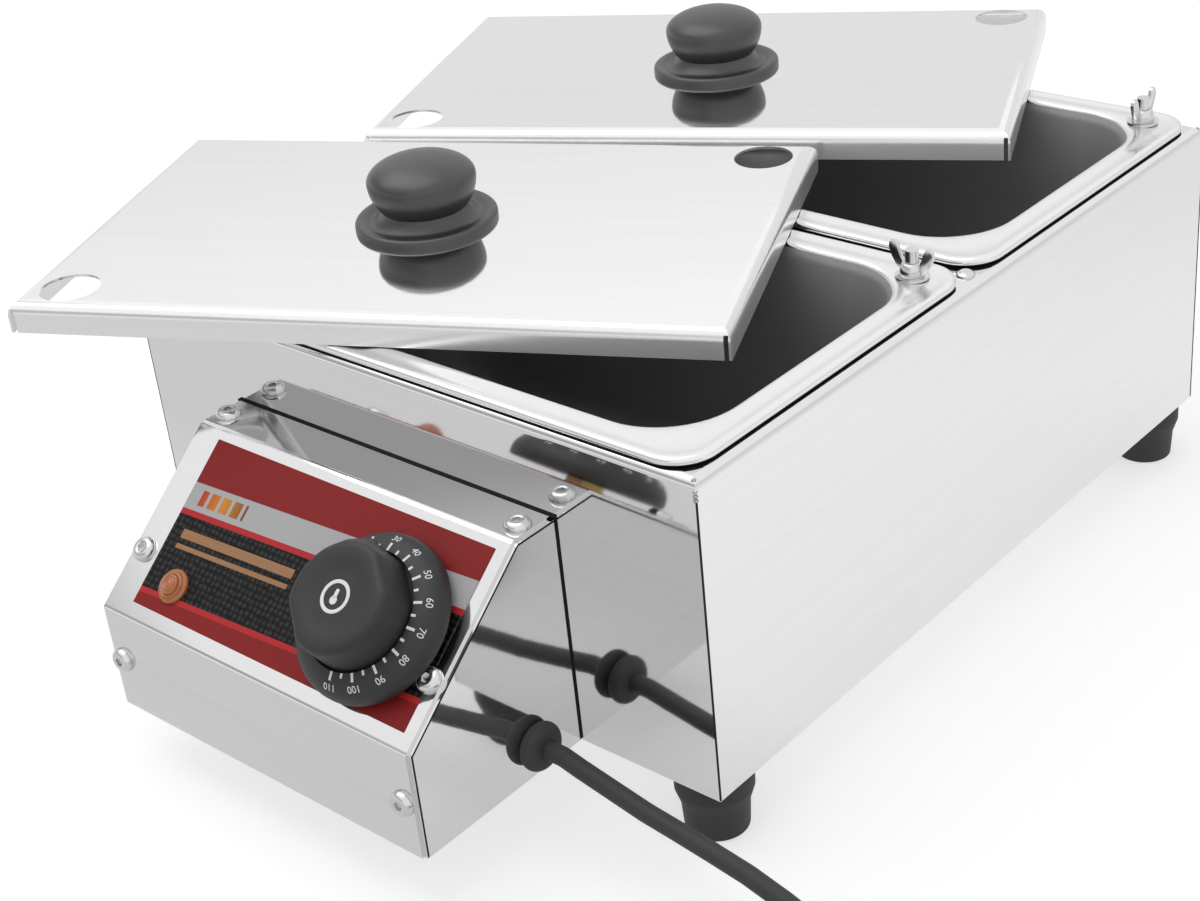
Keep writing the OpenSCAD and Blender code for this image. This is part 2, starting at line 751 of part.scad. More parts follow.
// Dial: a domed skirt with the scale, and a grip with two flats and a pointer
module control_knob() {
    grip_top_d = grip_d - 2 * grip_draft;
    beak = acos(grip_d / (grip_d + 2 * pointer_l));
    color(black) at_tank() on_face(dial_u, dial_v) difference() {
        union() {
            rotate_extrude() polygon(concat(
                [[0, dial_z], [dial_d / 2, dial_z]],
                [for (i = [0:bend_steps]) let (a = 90 * i / bend_steps)
                    [(grip_d + (dial_d - grip_d) * cos(a)) / 2, skirt_top_z - skirt_dome_h * (1 - sin(a))]],
                arc([grip_top_d / 2 - grip_edge_r, grip_h - grip_edge_r], grip_edge_r, 0, 90, bend_steps),
                [[0, grip_h]]));
            rotate(pointer_angle) translate([0, 0, skirt_top_z - skirt_dome_h]) linear_extrude(pointer_h)
                polygon([[0, -grip_top_d / 2], grip_d / 2 * [cos(beak), -sin(beak)],
                    [grip_d / 2 + pointer_l, 0], grip_d / 2 * [cos(beak), sin(beak)], [0, grip_top_d / 2]]);
        }
        for (a = [grip_flat_angle + 90, grip_flat_angle - 90]) rotate(a)
            translate([grip_flat_share * grip_d / 2, -grip_d / 2, skirt_top_z])
                cube([grip_d, grip_d, grip_h]);
        translate([0, 0, dial_z - overrun]) cylinder(d = recess_d, h = recess_h + overrun);
        translate([0, 0, dial_z - overrun])
            cylinder(d = shaft_d + 2 * slide_gap, h = shaft_bore_depth + fit_gap + overrun);
    }
}

// Wiring inside the casing

// Half width of the bowl's outside at a height over the floor
function bowl_half_w(z) = mouth_w / 2 - flare + pan_t
    - wall_taper * (flange_top - flare_h - z) / (flange_top - flare_h - pan_under - base_edge_r);

capillary_x = box_left + dial_u + capillary_u;
bulb_at = [0, pan_ys[0] - bowl_half_w(floor_z + bulb_z) - bulb_d / 2 - fit_gap, floor_z + bulb_z];

// Point behind the slanted face: u and v on the face, depth inward from its outside
function behind(u, v, depth) = [box_left + u,
    front_y - box_d + v * cos(slope) + depth * sin(slope),
    floor_z + knee_h + v * sin(slope) - depth * cos(slope)];

thermostat_back = sheet_t + thermostat_h;

module sensor_bulb() {
    from = behind(dial_u + capillary_u, dial_v, thermostat_back);
    lead = behind(dial_u + capillary_u, dial_v, thermostat_back + capillary_bend);
    wall = [capillary_x, front_y, bulb_at[2]];
    end_x = bulb_at[0] + bulb_l / 2;
    color(brass) at_tank() {
        translate([bulb_at[0] - bulb_l / 2, bulb_at[1], bulb_at[2]]) rotate([0, 90, 0])
            cylinder(d = bulb_d, h = bulb_l);
        tube([from, lead, wall - [0, 2 * capillary_bend, capillary_bend / 2],
            wall - [0, capillary_bend, 0], wall,
            [capillary_x, front_y + capillary_bend / 2, bulb_at[2]],
            [capillary_x - capillary_bend / 2, bulb_at[1] - capillary_bend / 4, bulb_at[2]],
            [min(capillary_x, end_x + capillary_bend) - capillary_bend / 4, bulb_at[1], bulb_at[2]],
            [end_x - overrun, bulb_at[1], bulb_at[2]]], capillary_d, cord_sides, [0.2, 0.1, 1]);
    }
}

block_y = front_y - gland_y;
wire_x = wire_d / 2 + slide_gap + wire_web / 2;

module terminal_block() {
    color(cream) at_tank() translate([block_x - block_l / 2, block_y - block_w / 2, floor_z + sheet_t])
        difference() {
            cube([block_l, block_w, block_h]);
            for (s = block_hole_shares) translate([s * block_l, block_w / 2, block_h / 2])
                cylinder(d = block_hole_d, h = block_h);
        }
}

module wall_grommet() {
    color(black) at_tank() translate([block_x, front_y, floor_z + wire_z]) rotate([-90, 0, 0])
        difference() {
            union() {
                translate([0, 0, -grommet_flange_t]) cylinder(d = grommet_flange_d, h = grommet_flange_t);
                cylinder(d = grommet_d - 2 * slide_gap, h = sheet_t);
                translate([0, 0, sheet_t]) cylinder(d = grommet_flange_d, h = grommet_flange_t);
            }
            for (x = [-1, 1]) translate([x * wire_x, 0, -grommet_flange_t - overrun])
                cylinder(d = wire_d + 2 * slide_gap, h = sheet_t + 2 * grommet_flange_t + 2 * overrun);
        }
}

// Wire from the terminal block's back, through the wall, up to the underside of a heating pad
module heater_wire(x, y_end) {
    z = floor_z + wire_z;
    tube([[x, block_y + block_w / 2, z], [x, front_y, z], [x, front_y + wire_bend, z],
        [x, y_end - 2 * wire_bend, z], [x, y_end - wire_bend / 2, z + wire_d / 4],
        [x, y_end, z + wire_d], [x, y_end, pad_z]], wire_d, cord_sides, [1, 0, 0]);
}

module wiring() {
    block_top = floor_z + sheet_t + block_h;
    color(black) at_tank() {
        heater_wire(block_x - wire_x, pan_ys[0]);
        heater_wire(block_x + wire_x, pan_ys[1]);
        tube([[box_right - sheet_t - gland_inner_t, block_y, floor_z + gland_z],
            [block_x + block_l / 2, block_y, floor_z + gland_z]], cord_d, cord_sides, [0, 0, 1]);
        tube([[block_x, block_y, block_top], [block_x, block_y, block_top + wire_bend],
            behind(dial_u, dial_v, thermostat_back + 2 * wire_bend),
            behind(dial_u, dial_v, thermostat_back + wire_bend / 2),
            behind(dial_u, dial_v, thermostat_back)], wire_d, cord_sides, [1, 0, 0]);
        tube([[block_x - block_l / 2, block_y, floor_z + wire_z],
            [block_x - block_l / 2 - wire_bend, block_y, floor_z + wire_z],
            behind(pilot_u, pilot_v, pilot_body_l + 2 * wire_bend),
            behind(pilot_u, pilot_v, pilot_body_l + wire_bend / 2),
            behind(pilot_u, pilot_v, pilot_body_l - label_t)], wire_d, cord_sides, [0, -1, 1]);
    }
}

// Feet

module foot(x, y) {
    color(charcoal) at_tank()
        translate([x * (casing_w / 2 - foot_inset), y * (casing_d / 2 - foot_inset), 0]) difference() {
            rotate_extrude() polygon([[0, 0], [foot_base_d / 2, 0],
                [foot_neck_d / 2, foot_h - foot_collar_h - foot_flare_h],
                [foot_top_d / 2, foot_h - foot_collar_h], [foot_top_d / 2, foot_h], [0, foot_h]]);
            translate([0, 0, -overrun]) cylinder(d = foot_bore_d, h = foot_web_h + overrun);
            cylinder(d = foot_screw_d + 2 * slide_gap, h = foot_h + overrun);
        }
}

module front_left_foot() { foot(-1, -1); }
module front_right_foot() { foot(1, -1); }
module rear_left_foot() { foot(-1, 1); }
module rear_right_foot() { foot(1, 1); }

foot_grip = foot_h - foot_web_h + 2 * sheet_t;

module foot_screws() {
    color(bright) at_tank() foot_places() translate([0, 0, foot_web_h]) {
        translate([0, 0, -foot_head_h]) cylinder(d = foot_head_d, h = foot_head_h);
        cylinder(d = foot_screw_d, h = foot_grip + foot_nut_h);
    }
}

module foot_nuts() {
    color(bright) at_tank() foot_places() translate([0, 0, foot_web_h + foot_grip]) difference() {
        cylinder(d = foot_nut_af_d, h = foot_nut_h, $fn = 6);
        translate([0, 0, -overrun])
            cylinder(d = foot_screw_d + 2 * slide_gap, h = foot_nut_h + 2 * overrun);
    }
}

// Lids

// Places a piece of a lid: the lid's own middle, at the bottom of its rim
module at_front_lid() {
    at_tank() translate([front_lid_at[0], front_lid_at[1], flange_top + rest_gap]) rotate(lid_turn)
        children();
}

module at_rear_lid() {
    at_tank() translate([rear_lid_at[0], rear_lid_at[1], flange_top - rear_lid_drop]) rotate(lid_turn)
        rotate([-rear_front_up, -rear_right_up, 0]) children();
}

module lid() {
    difference() {
        bent_box(lid_length, lid_w, lid_h, lid_bend_r);
        translate([0, 0, -overrun])
            bent_box(lid_length - 2 * lid_t, lid_w - 2 * lid_t, lid_h - lid_t + overrun, lid_bend_r - lid_t);
        for (s = [-1, 1]) translate([s * stud_x, s * stud_y, 0])
            cylinder(d = lid_hole_d, h = lid_h + overrun);
        cylinder(d = knob_screw_d + 2 * slide_gap, h = lid_h + overrun);
        for (x = [-1, 1], y = [-1, 1])
            translate([x * (lid_length / 2 - lid_t - lid_slit_w / 2), y * (lid_w - lid_t) / 2,
                (lid_h - lid_bend_r - overrun) / 2])
                cube([lid_slit_w, lid_t + 2 * overrun, lid_h - lid_bend_r + overrun], center = true);
    }
}

module lid_knob() {
    bulb_z0 = knob_h - knob_bulb_half_h;
    neck_angle = -acos(knob_neck_d / knob_bulb_d);
    low_half_h = (bulb_z0 - knob_brim_t - knob_fillet) / sin(-neck_angle);
    brim_arc = arc([knob_brim_d / 2 - knob_brim_t / 2, knob_brim_t / 2], knob_brim_t / 2, -90, 90,
        knob_steps);
    neck_arc = arc([knob_neck_d / 2 + knob_fillet, knob_brim_t + knob_fillet], knob_fillet, 270, 180,
        bend_steps);
    bulb_arc = [for (i = [0:2 * knob_steps]) let (a = neck_angle + (90 - neck_angle) * i / (2 * knob_steps))
        [knob_bulb_d / 2 * cos(a), bulb_z0 + (a < 0 ? low_half_h : knob_bulb_half_h) * sin(a)]];
    translate([0, 0, lid_h]) difference() {
        rotate_extrude() polygon(concat([[0, 0]], brim_arc, neck_arc, bulb_arc));
        translate([0, 0, -overrun]) cylinder(d = knob_screw_d + 2 * slide_gap, h = knob_screw_l + overrun);
    }
}

module knob_screw() {
    translate([0, 0, lid_h - lid_t - knob_screw_head_h])
        cylinder(d = knob_screw_head_d, h = knob_screw_head_h);
    translate([0, 0, lid_h - lid_t - knob_screw_head_h / 2]) cylinder(d = knob_screw_d, h = knob_screw_l);
}

module front_lid() { color(bright) at_front_lid() lid(); }
module front_lid_knob() { color(charcoal) at_front_lid() lid_knob(); }
module front_knob_screw() { color(bright) at_front_lid() knob_screw(); }
module rear_lid() { color(bright) at_rear_lid() lid(); }
module rear_lid_knob() { color(charcoal) at_rear_lid() lid_knob(); }
module rear_knob_screw() { color(bright) at_rear_lid() knob_screw(); }

// Cord, coil and plug

module cord_gland() {
    color(charcoal) at_tank() translate([box_right, front_y - gland_y, floor_z + gland_z])
        rotate([0, 90, 0]) {
        rotate_extrude() polygon(concat([[0, 0]],
            arc([gland_d / 2 - gland_edge_r, gland_edge_r], gland_edge_r, -90, 90, bend_steps),
            [[gland_neck_d / 2, gland_t], [0, gland_t]]));
        translate([0, 0, -sheet_t]) cylinder(d = gland_neck_d, h = sheet_t + gland_edge_r);
        translate([0, 0, -sheet_t - gland_inner_t]) cylinder(d = gland_inner_d, h = gland_inner_t);
    }
}

// Points of the coil's middle line, wound clockwise from its rear, with a straight stretch at each end
function coil_turn_radius(t) = coil_r - coil_pitch * (t < coil_turns / 2 ? t : coil_turns - t);
function coil_climb(t) = min(max((t - coil_turns / 2) / coil_climb_share + 1 / 2, 0), 1);
function coil_height(t) = coil_z + coil_rise * (1 - cos(180 * coil_climb(t))) / 2;
function coil_point(t) = [coil_at[0] + coil_turn_radius(t) * sin(360 * t),
    coil_at[1] + coil_turn_radius(t) * cos(360 * t), coil_height(t)];
coil_start = coil_point(0) - [cord_d, 0, 0];
coil_end = coil_point(coil_turns) + coil_tail * [cos(360 * coil_turns), -sin(360 * coil_turns), 0];
plug_heading = 180 - 360 * coil_turns;
coil_count = coil_turns * coil_rings;
coil_line = concat([coil_start], [for (i = [0:coil_count]) coil_point(i / coil_rings)], [coil_end]);
coil_least_gap = min([for (i = [0:coil_count - coil_rings / 2], j = [i + coil_rings / 2:coil_count])
    norm(coil_line[i] - coil_line[j])]) - cord_d;
echo(coil_least_gap = coil_least_gap);

module power_cord() {
    color(charcoal) at_tank() tube(concat([cord_start, cord_start + [cord_d, 0, 0]], cord_route,
        [coil_start - [cord_d, 0, 0], coil_start]), cord_d, cord_sides, [0, 0, 1]);
}

module cord_coil() {
    color(charcoal) at_tank() tube(coil_line, cord_d, coil_sides, [0, 0, 1]);
}

// Plug: a strain relief, a body with cut corners and three pins, in line with the coil's end
module plug_body() {
    cut = plug_chamfer_share * plug_h;
    color(charcoal) at_tank() translate(coil_end) rotate([0, -90, plug_heading]) {
        cylinder(d1 = plug_relief_tip_d, d2 = plug_relief_d, h = plug_relief_l);
        translate([0, 0, plug_relief_l]) linear_extrude(plug_l) polygon([
            [-plug_h / 2, -plug_w / 2 + cut], [-plug_h / 2, plug_w / 2 - cut],
            [-plug_h / 2 + cut, plug_w / 2],
            [plug_h / 2 - cut, plug_w / 2], [plug_h / 2, plug_w / 2 - cut], [plug_h / 2, -plug_w / 2 + cut],
            [plug_h / 2 - cut, -plug_w / 2], [-plug_h / 2 + cut, -plug_w / 2]]);
    }
}

module plug_pins() {
    color(brass) at_tank() translate(coil_end) rotate([0, -90, plug_heading])
        for (p = [[0, -pin_pitch / 2], [0, pin_pitch / 2], [pin_offset, 0]])
            translate([p[0], p[1], plug_relief_l + plug_l]) cylinder(d = pin_d, h = pin_l);
}

casing_shell();
base_plate();
cross_rail();
rail_rivets();
insulation_mat();
front_pan();
rear_pan();
front_heater();
rear_heater();
pan_studs();
stud_washers();
front_wing_nut();
rear_wing_nut();
control_body();
box_rivets();
control_cover();
cover_screws();
label_plate();
pilot_lens();
pilot_body();
thermostat_body();
thermostat_nut();
thermostat_shaft();
control_knob();
sensor_bulb();
terminal_block();
wall_grommet();
wiring();
front_left_foot();
front_right_foot();
rear_left_foot();
rear_right_foot();
foot_screws();
foot_nuts();
front_lid();
front_lid_knob();
front_knob_screw();
rear_lid();
rear_lid_knob();
rear_knob_screw();
cord_gland();
power_cord();
cord_coil();
plug_body();
plug_pins();
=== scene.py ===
"""Chocolate melting tank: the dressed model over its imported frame, in metres."""
import math

import bmesh
import bpy
from mathutils import Matrix, Vector


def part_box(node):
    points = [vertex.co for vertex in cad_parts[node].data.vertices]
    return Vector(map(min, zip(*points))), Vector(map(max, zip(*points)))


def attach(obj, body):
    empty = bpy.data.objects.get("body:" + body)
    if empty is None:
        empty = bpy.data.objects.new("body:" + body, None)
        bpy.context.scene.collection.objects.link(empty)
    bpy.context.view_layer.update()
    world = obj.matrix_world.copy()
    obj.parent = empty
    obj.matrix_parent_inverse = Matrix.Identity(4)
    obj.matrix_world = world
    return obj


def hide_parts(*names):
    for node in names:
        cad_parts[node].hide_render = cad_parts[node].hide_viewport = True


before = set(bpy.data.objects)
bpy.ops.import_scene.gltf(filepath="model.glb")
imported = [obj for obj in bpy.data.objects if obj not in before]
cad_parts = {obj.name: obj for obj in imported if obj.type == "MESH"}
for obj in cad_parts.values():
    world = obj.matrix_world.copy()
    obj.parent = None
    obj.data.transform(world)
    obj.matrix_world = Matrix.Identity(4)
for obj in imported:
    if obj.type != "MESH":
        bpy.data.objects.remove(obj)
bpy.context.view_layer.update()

bl_info = {
    "name": "Chocolate melting tank",
    "version": (1, 0, 0),
    "blender": (4, 5, 0),
    "location": "View3D > Sidebar > Melting tank",
    "description": "Dresses the melting tank with its finishes, dial, fittings and cord",
    "category": "Object",
}

MM = 0.001
ON_AXIS = 0.0001
CASING_LO, CASING_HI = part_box("casing_shell")
COVER_LO, COVER_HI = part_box("control_cover")
BODY_LO, BODY_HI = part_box("control_body")
TANK = Vector(((CASING_LO.x + CASING_HI.x) / 2, (CASING_LO.y + CASING_HI.y) / 2, 0.0))
BOX_H, BOX_TOP_D, BOX_D = 91.5 * MM, 19 * MM, 77.8 * MM
KNEE_H = 42 * MM
SLOPE = math.atan2(BOX_H - KNEE_H, BOX_D - BOX_TOP_D)
LID_H, LID_TURN = 11.5, 25.6
CORNERS = ((-1, -1), (1, -1), (1, 1), (-1, 1))
SCREW_INSET = 6.6 * MM
PANEL = Matrix.Translation((BODY_LO.x, COVER_LO.y, CASING_LO.z + KNEE_H)) @ Matrix.Rotation(SLOPE, 4, "X")
DIAL_U, DIAL_V = 123.7 * MM, 35.5 * MM
PILOT_U, PILOT_V = 29.2 * MM, 17.4 * MM


def turn(angle, axis):
    """Rotation by degrees about a named axis."""
    return Matrix.Rotation(math.radians(angle), 4, axis)


def shift(x, y, z):
    """Move by metres along the axes."""
    return Matrix.Translation((x, y, z))


def from_tank(x, y, z):
    """Point by mm from the tank's middle on the bench."""
    return TANK + Vector((x, y, z)) * MM


def on_panel(u, v, rise=0.0):
    """Place on the slanted panel, from its lower left corner."""
    return PANEL @ shift(u, v, rise)


def arc(centre, radii, start, end, steps):
    """Points of an elliptic arc in degrees, as (across, up) pairs."""
    spans = [math.radians(start + (end - start) * i / steps) for i in range(steps + 1)]
    return [(centre[0] + radii[0] * math.cos(a), centre[1] + radii[1] * math.sin(a)) for a in spans]


def circle(radius, height, steps):
    """Ring of points in metres from a radius and a height in mm; one point on the axis."""
    if radius < ON_AXIS:
        return [(0, 0, height * MM)]
    spans = [2 * math.pi * i / steps for i in range(steps)]
    return [(radius * MM * math.cos(a), radius * MM * math.sin(a), height * MM) for a in spans]


def middle(node, z):
    """Place over the middle of a node's footprint."""
    lo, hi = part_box(node)
    return shift((lo.x + hi.x) / 2, (lo.y + hi.y) / 2, z)


# Finishes

class Value:
    """A shader socket that takes part in Python arithmetic."""

    def __init__(self, finish, socket):
        self.finish = finish
        self.socket = socket

    def by(self, operation, other, swapped=False):
        first, second = (other, self) if swapped else (self, other)
        return self.finish.node("ShaderNodeMath", {"operation": operation}, {0: first, 1: second})

    def __add__(self, other):
        return self.by("ADD", other)

    def __sub__(self, other):
        return self.by("SUBTRACT", other)

    def __rsub__(self, other):
        return self.by("SUBTRACT", other, True)

    def __mul__(self, other):
        return self.by("MULTIPLY", other)

    def __gt__(self, other):
        return self.by("GREATER_THAN", other)

    def __lt__(self, other):
        return self.by("LESS_THAN", other)

    __radd__ = __add__
    __rmul__ = __mul__


class Finish:
    """A node tree for a surface, the floor or the world, with Python names for its nodes."""

    def __init__(self, name, tree=None, **constants):
        self.material = self.shader = self.spot = None
        if tree is None:
            self.material = bpy.data.materials.new(name)
            self.material.use_nodes = True
            tree = self.material.node_tree
            self.shader = tree.nodes["Principled BSDF"]
            for key, value in constants.items():
                self.shader.inputs[key.replace("_", " ")].default_value = value
        self.tree = tree

    def node(self, kind, settings=None, inputs=None, output=0):
        node = self.tree.nodes.new(kind)
        for key, value in (settings or {}).items():
            if key == "stops":
                ramp = node.color_ramp.elements
                while len(ramp) < len(value):
                    ramp.new(0.5)
                for stop, (place, colour) in zip(ramp, value):
                    stop.position = place
                    stop.color = colour
            else:
                setattr(node, key, value)
        for key, value in (inputs or {}).items():
            if isinstance(value, Value):
                self.tree.links.new(value.socket, node.inputs[key])
            else:
                node.inputs[key].default_value = value
        return Value(self, node.outputs[output])

    def place(self):
        if self.spot is None:
            self.spot = self.node("ShaderNodeTexCoord", output=3)
        return self.spot

    def axes(self):
        split = self.node("ShaderNodeSeparateXYZ", inputs={0: self.place()})
        return [Value(self, socket) for socket in split.socket.node.outputs]

    def stretched(self, scale, rotation=(0, 0, 0)):
        return self.node("ShaderNodeMapping", {"vector_type": "TEXTURE"},
                         {"Vector": self.place(), "Scale": [1 / s for s in scale], "Rotation": rotation})

    def level(self):
        """How far the surface faces up or down, from 0 on an upright face to 1."""
        normal = self.node("ShaderNodeTexCoord", output=1)
        return self.node("ShaderNodeSeparateXYZ", inputs={0: normal}, output=2).by("ABSOLUTE", 0.0)

    def noise(self, scale, detail=3.0, vector=None):
        return self.node("ShaderNodeTexNoise", inputs={"Vector": vector or self.place(), "Scale": scale,
                                                       "Detail": detail})

    def mix(self, first, second, factor):
        return self.node("ShaderNodeMix", {"data_type": "RGBA"}, {0: factor, 6: first, 7: second}, 2)

    def span(self, value, low, high, new_low=0.0, new_high=1.0):
        return self.node("ShaderNodeMapRange", inputs={0: value, 1: low, 2: high, 3: new_low, 4: new_high})

    def bump(self, height, strength, distance):
        return self.node("ShaderNodeBump", inputs={"Strength": strength, "Distance": distance,
                                                   "Height": height})

    def feed(self, **values):
        for key, value in values.items():
            self.tree.links.new(value.socket, self.shader.inputs[key.replace("_", " ")])
        return self.material


def grey(level):
    """A linear grey."""
    return (level, level, level, 1.0)


def shade(colour, share):
    """A colour made lighter or darker."""
    return tuple(share * c for c in colour[:3]) + (1.0,)


def steel(name, level, rough, grain, stretch, heading=0.0, rim=0.0):
    """Bright sheet: fine rolling streaks along one way, faint clouds of polish, and with rim a painted shade
    that makes upright faces rougher and less metallic.
    """
    made = Finish(name, Metallic=1.0)
    streak = made.noise(1.0, 2.0, made.stretched(stretch, (0, 0, math.radians(heading))))
    cloud = made.noise(9.0, 3.0)
    sheen = rough + grain * streak + 0.015 * cloud
    if rim:
        # Painted shade: upright faces turn rougher and less metallic, so the lids' rims come out greyer than
        # the top.
        upright_shade = made.span(made.level(), 0.3, 0.75, rim, 0.0)
        sheen = sheen + 0.6 * upright_shade
        made.feed(Metallic=1 - upright_shade)
    made.feed(Base_Color=made.mix(grey(level * 0.94), grey(level), streak), Roughness=sheen)
    return made.feed(Normal=made.bump(streak + 0.5 * cloud, 0.03, 0.0002))


def shaded_bowl(name, colour):
    """Inside of a pan: satin steel painted darker as painted shade for the deep pan, a little lighter and
    smoother in clouds, faint drawing lines.
    """
    made = Finish(name, Metallic=0.42)
    lines = made.noise(1.0, 2.0, made.stretched((60, 60, 500)))
    cloud = made.noise(7.0, 4.0)
    made.feed(Base_Color=made.mix(colour, shade(colour, 1.2), cloud),
              Roughness=0.38 + 0.1 * cloud + 0.06 * lines)
    return made.feed(Normal=made.bump(lines, 0.05, 0.0003))


def moulding(name, colour, rough, pore, depth, gloss=0.5):
    """Moulded plastic or rubber: fine pores and slightly uneven gloss."""
    made = Finish(name, Specular_IOR_Level=gloss)
    pores = made.noise(pore, 2.0)
    cloud = made.noise(40.0, 3.0)
    made.feed(Base_Color=made.mix(colour, shade(colour, 1.3), cloud), Roughness=rough + 0.12 * cloud)
    return made.feed(Normal=made.bump(pores, depth, 0.0003))


def plain_metal(name, colour, rough):
    """Small turned or pressed metal: faint turning marks and clouds."""
    made = Finish(name, Metallic=1.0)
    marks = made.noise(900.0, 2.0)
    cloud = made.noise(60.0, 3.0)
    made.feed(Base_Color=made.mix(shade(colour, 0.85), colour, cloud), Roughness=rough + 0.1 * cloud)
    return made.feed(Normal=made.bump(marks, 0.06, 0.0002))


def matted(name, colour, scale):
    """Mat of short fibres for the insulation and pads."""
    made = Finish(name, Roughness=0.9)
    fibre = made.noise(scale, 6.0)
    made.feed(Base_Color=made.mix(shade(colour, 0.75), colour, fibre))
    return made.feed(Normal=made.bump(fibre, 0.5, 0.001))


def panel_print(name, look):
    """Printed film: straight bands of colour, a field of small raised cells, printed dark with painted
    highlights in their middles, and plain rules.
    """
    made = Finish(name, Roughness=0.45, Specular_IOR_Level=0.2)
    x, y, z = made.axes()
    origin = PANEL.translation
    u = (x - origin.x) * (1 / MM)
    v = (y - origin.y) * (math.cos(SLOPE) / MM) + (z - origin.z) * (math.sin(SLOPE) / MM)
    spot = made.node("ShaderNodeCombineXYZ", inputs={0: u, 1: v})
    cells = made.node("ShaderNodeTexVoronoi", inputs={"Vector": spot, "Scale": 0.42, "Randomness": 0.25})
    dark, bright = look.label_red[:], look.accent_red[:]
    slant = v - 0.04 * u

    def band(low, high, value=slant):
        return (value > low) * (value < high)

    field = band(12.5, 42.0)
    # Printed weave of black cells; the lighter middle of each raised cell is a painted highlight.
    printed_weave_and_highlights = made.mix(grey(0.002), (0.045, 0.044, 0.043, 1), made.span(cells, 0.12, 0.5, 1.0, 0.0))
    colour = made.mix(dark, printed_weave_and_highlights, field)
    colour = made.mix(colour, (0.5, 0.5, 0.51, 1), band(44.2, 54.5))
    colour = made.mix(colour, bright, band(42.0, 44.2))
    colour = made.mix(colour, bright, band(10.4, 12.5))
    rules = band(20, 78, u) * (band(29.5, 31.3) + band(33.5, 37.0))
    colour = made.mix(colour, (0.42, 0.22, 0.11, 1), rules)
    tiles = band(20, 44, u) * band(46.4, 52.4) * (u.by("PINGPONG", 3.0) > 0.8)
    stops = [(0.0, (0.55, 0.05, 0.04, 1)), (0.5, (0.75, 0.3, 0.04, 1)), (1.0, (0.22, 0.08, 0.03, 1))]
    hue = made.node("ShaderNodeValToRGB", {"stops": stops}, {0: made.span(u, 20.0, 44.0)})
    colour = made.mix(colour, hue, tiles)
    made.feed(Base_Color=colour)
    return made.feed(Normal=made.bump(made.span(cells, 0.1, 0.5, 1.0, 0.0) * field, 0.35, 0.0004))


def lens_amber(name, colour):
    """Ribbed amber lens, a little darker in small clouds."""
    made = Finish(name, Coat_Weight=0.4, IOR=1.5)
    cloud = made.noise(300.0, 2.0)
    return made.feed(Base_Color=made.mix(shade(colour, 0.6), colour, cloud), Roughness=0.16 + 0.1 * cloud)


FINISHES = {}


def finish(name):
    """Material by name, made on first use from the settings in the sidebar."""
    if name not in FINISHES:
        look = bpy.context.scene.melter_look
        bright, rubber = look.steel_level, look.rubber_colour[:]
        maker, *values = {
            "casing_steel": (steel, bright, 0.03, 0.03, (6, 6, 260)),
            "lid_steel": (steel, bright * 1.18, 0.035, 0.03, (5, 220, 220), LID_TURN, 0.3),
            "pan_steel": (steel, bright * 1.1, 0.2, 0.08, (30, 30, 30)),
            "bright_steel": (plain_metal, grey(bright * 0.95), 0.16),
            "bowl_dark": (shaded_bowl, look.bowl_shade_colour[:]),
            # Dark seam finish: real joints at the casing's corners, and painted shade under the pans' rims
            # and along the control box's edges.
            "seam_dark": (moulding, grey(0.006), 0.6, 1500.0, 0.1, 0.2),
            "weld_bead": (plain_metal, grey(0.45), 0.4),
            "knob_plastic": (moulding, look.knob_colour[:], 0.3, 2600.0, 0.08, 0.9),
            "dial_plastic": (moulding, look.dial_colour[:], 0.42, 2400.0, 0.1),
            "foot_rubber": (moulding, rubber, 0.6, 1500.0, 0.2),
            "cord_rubber": (moulding, rubber, 0.5, 1800.0, 0.12),
            "print_white": (moulding, grey(0.8), 0.5, 3000.0, 0.05),
            "label_film": (panel_print, look),
            "amber_lens": (lens_amber, look.lens_colour[:]),
            "black_plastic": (moulding, grey(0.012), 0.45, 2000.0, 0.1),
            "cream_plastic": (moulding, (0.7, 0.65, 0.5, 1), 0.5, 1500.0, 0.1),
            "brass": (plain_metal, (0.72, 0.52, 0.22, 1), 0.25),
            "insulation": (matted, (0.72, 0.68, 0.55, 1), 700.0),
            "heater_pad": (matted, (0.4, 0.07, 0.05, 1), 900.0),
        }[name]
        FINISHES[name] = maker(name, *values)
    return FINISHES[name]


def dress(material, *nodes):
    """Give carried-over solids a finish."""
    for node in nodes:
        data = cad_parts[node].data
        data.materials.clear()
        data.materials.append(finish(material))


# Shapes

def show(name, data):
    """New object in the scene."""
    made = bpy.data.objects.new(name, data)
    bpy.context.scene.collection.objects.link(made)
    return made


def final_mesh(made, *helpers):
    """Mesh of an object after its modifiers; the object and its helpers are taken out."""
    bpy.context.view_layer.update()
    graph = bpy.context.evaluated_depsgraph_get()
    data = bpy.data.meshes.new_from_object(made.evaluated_get(graph))
    for each in (made, *helpers):
        bpy.data.objects.remove(each)
    return data


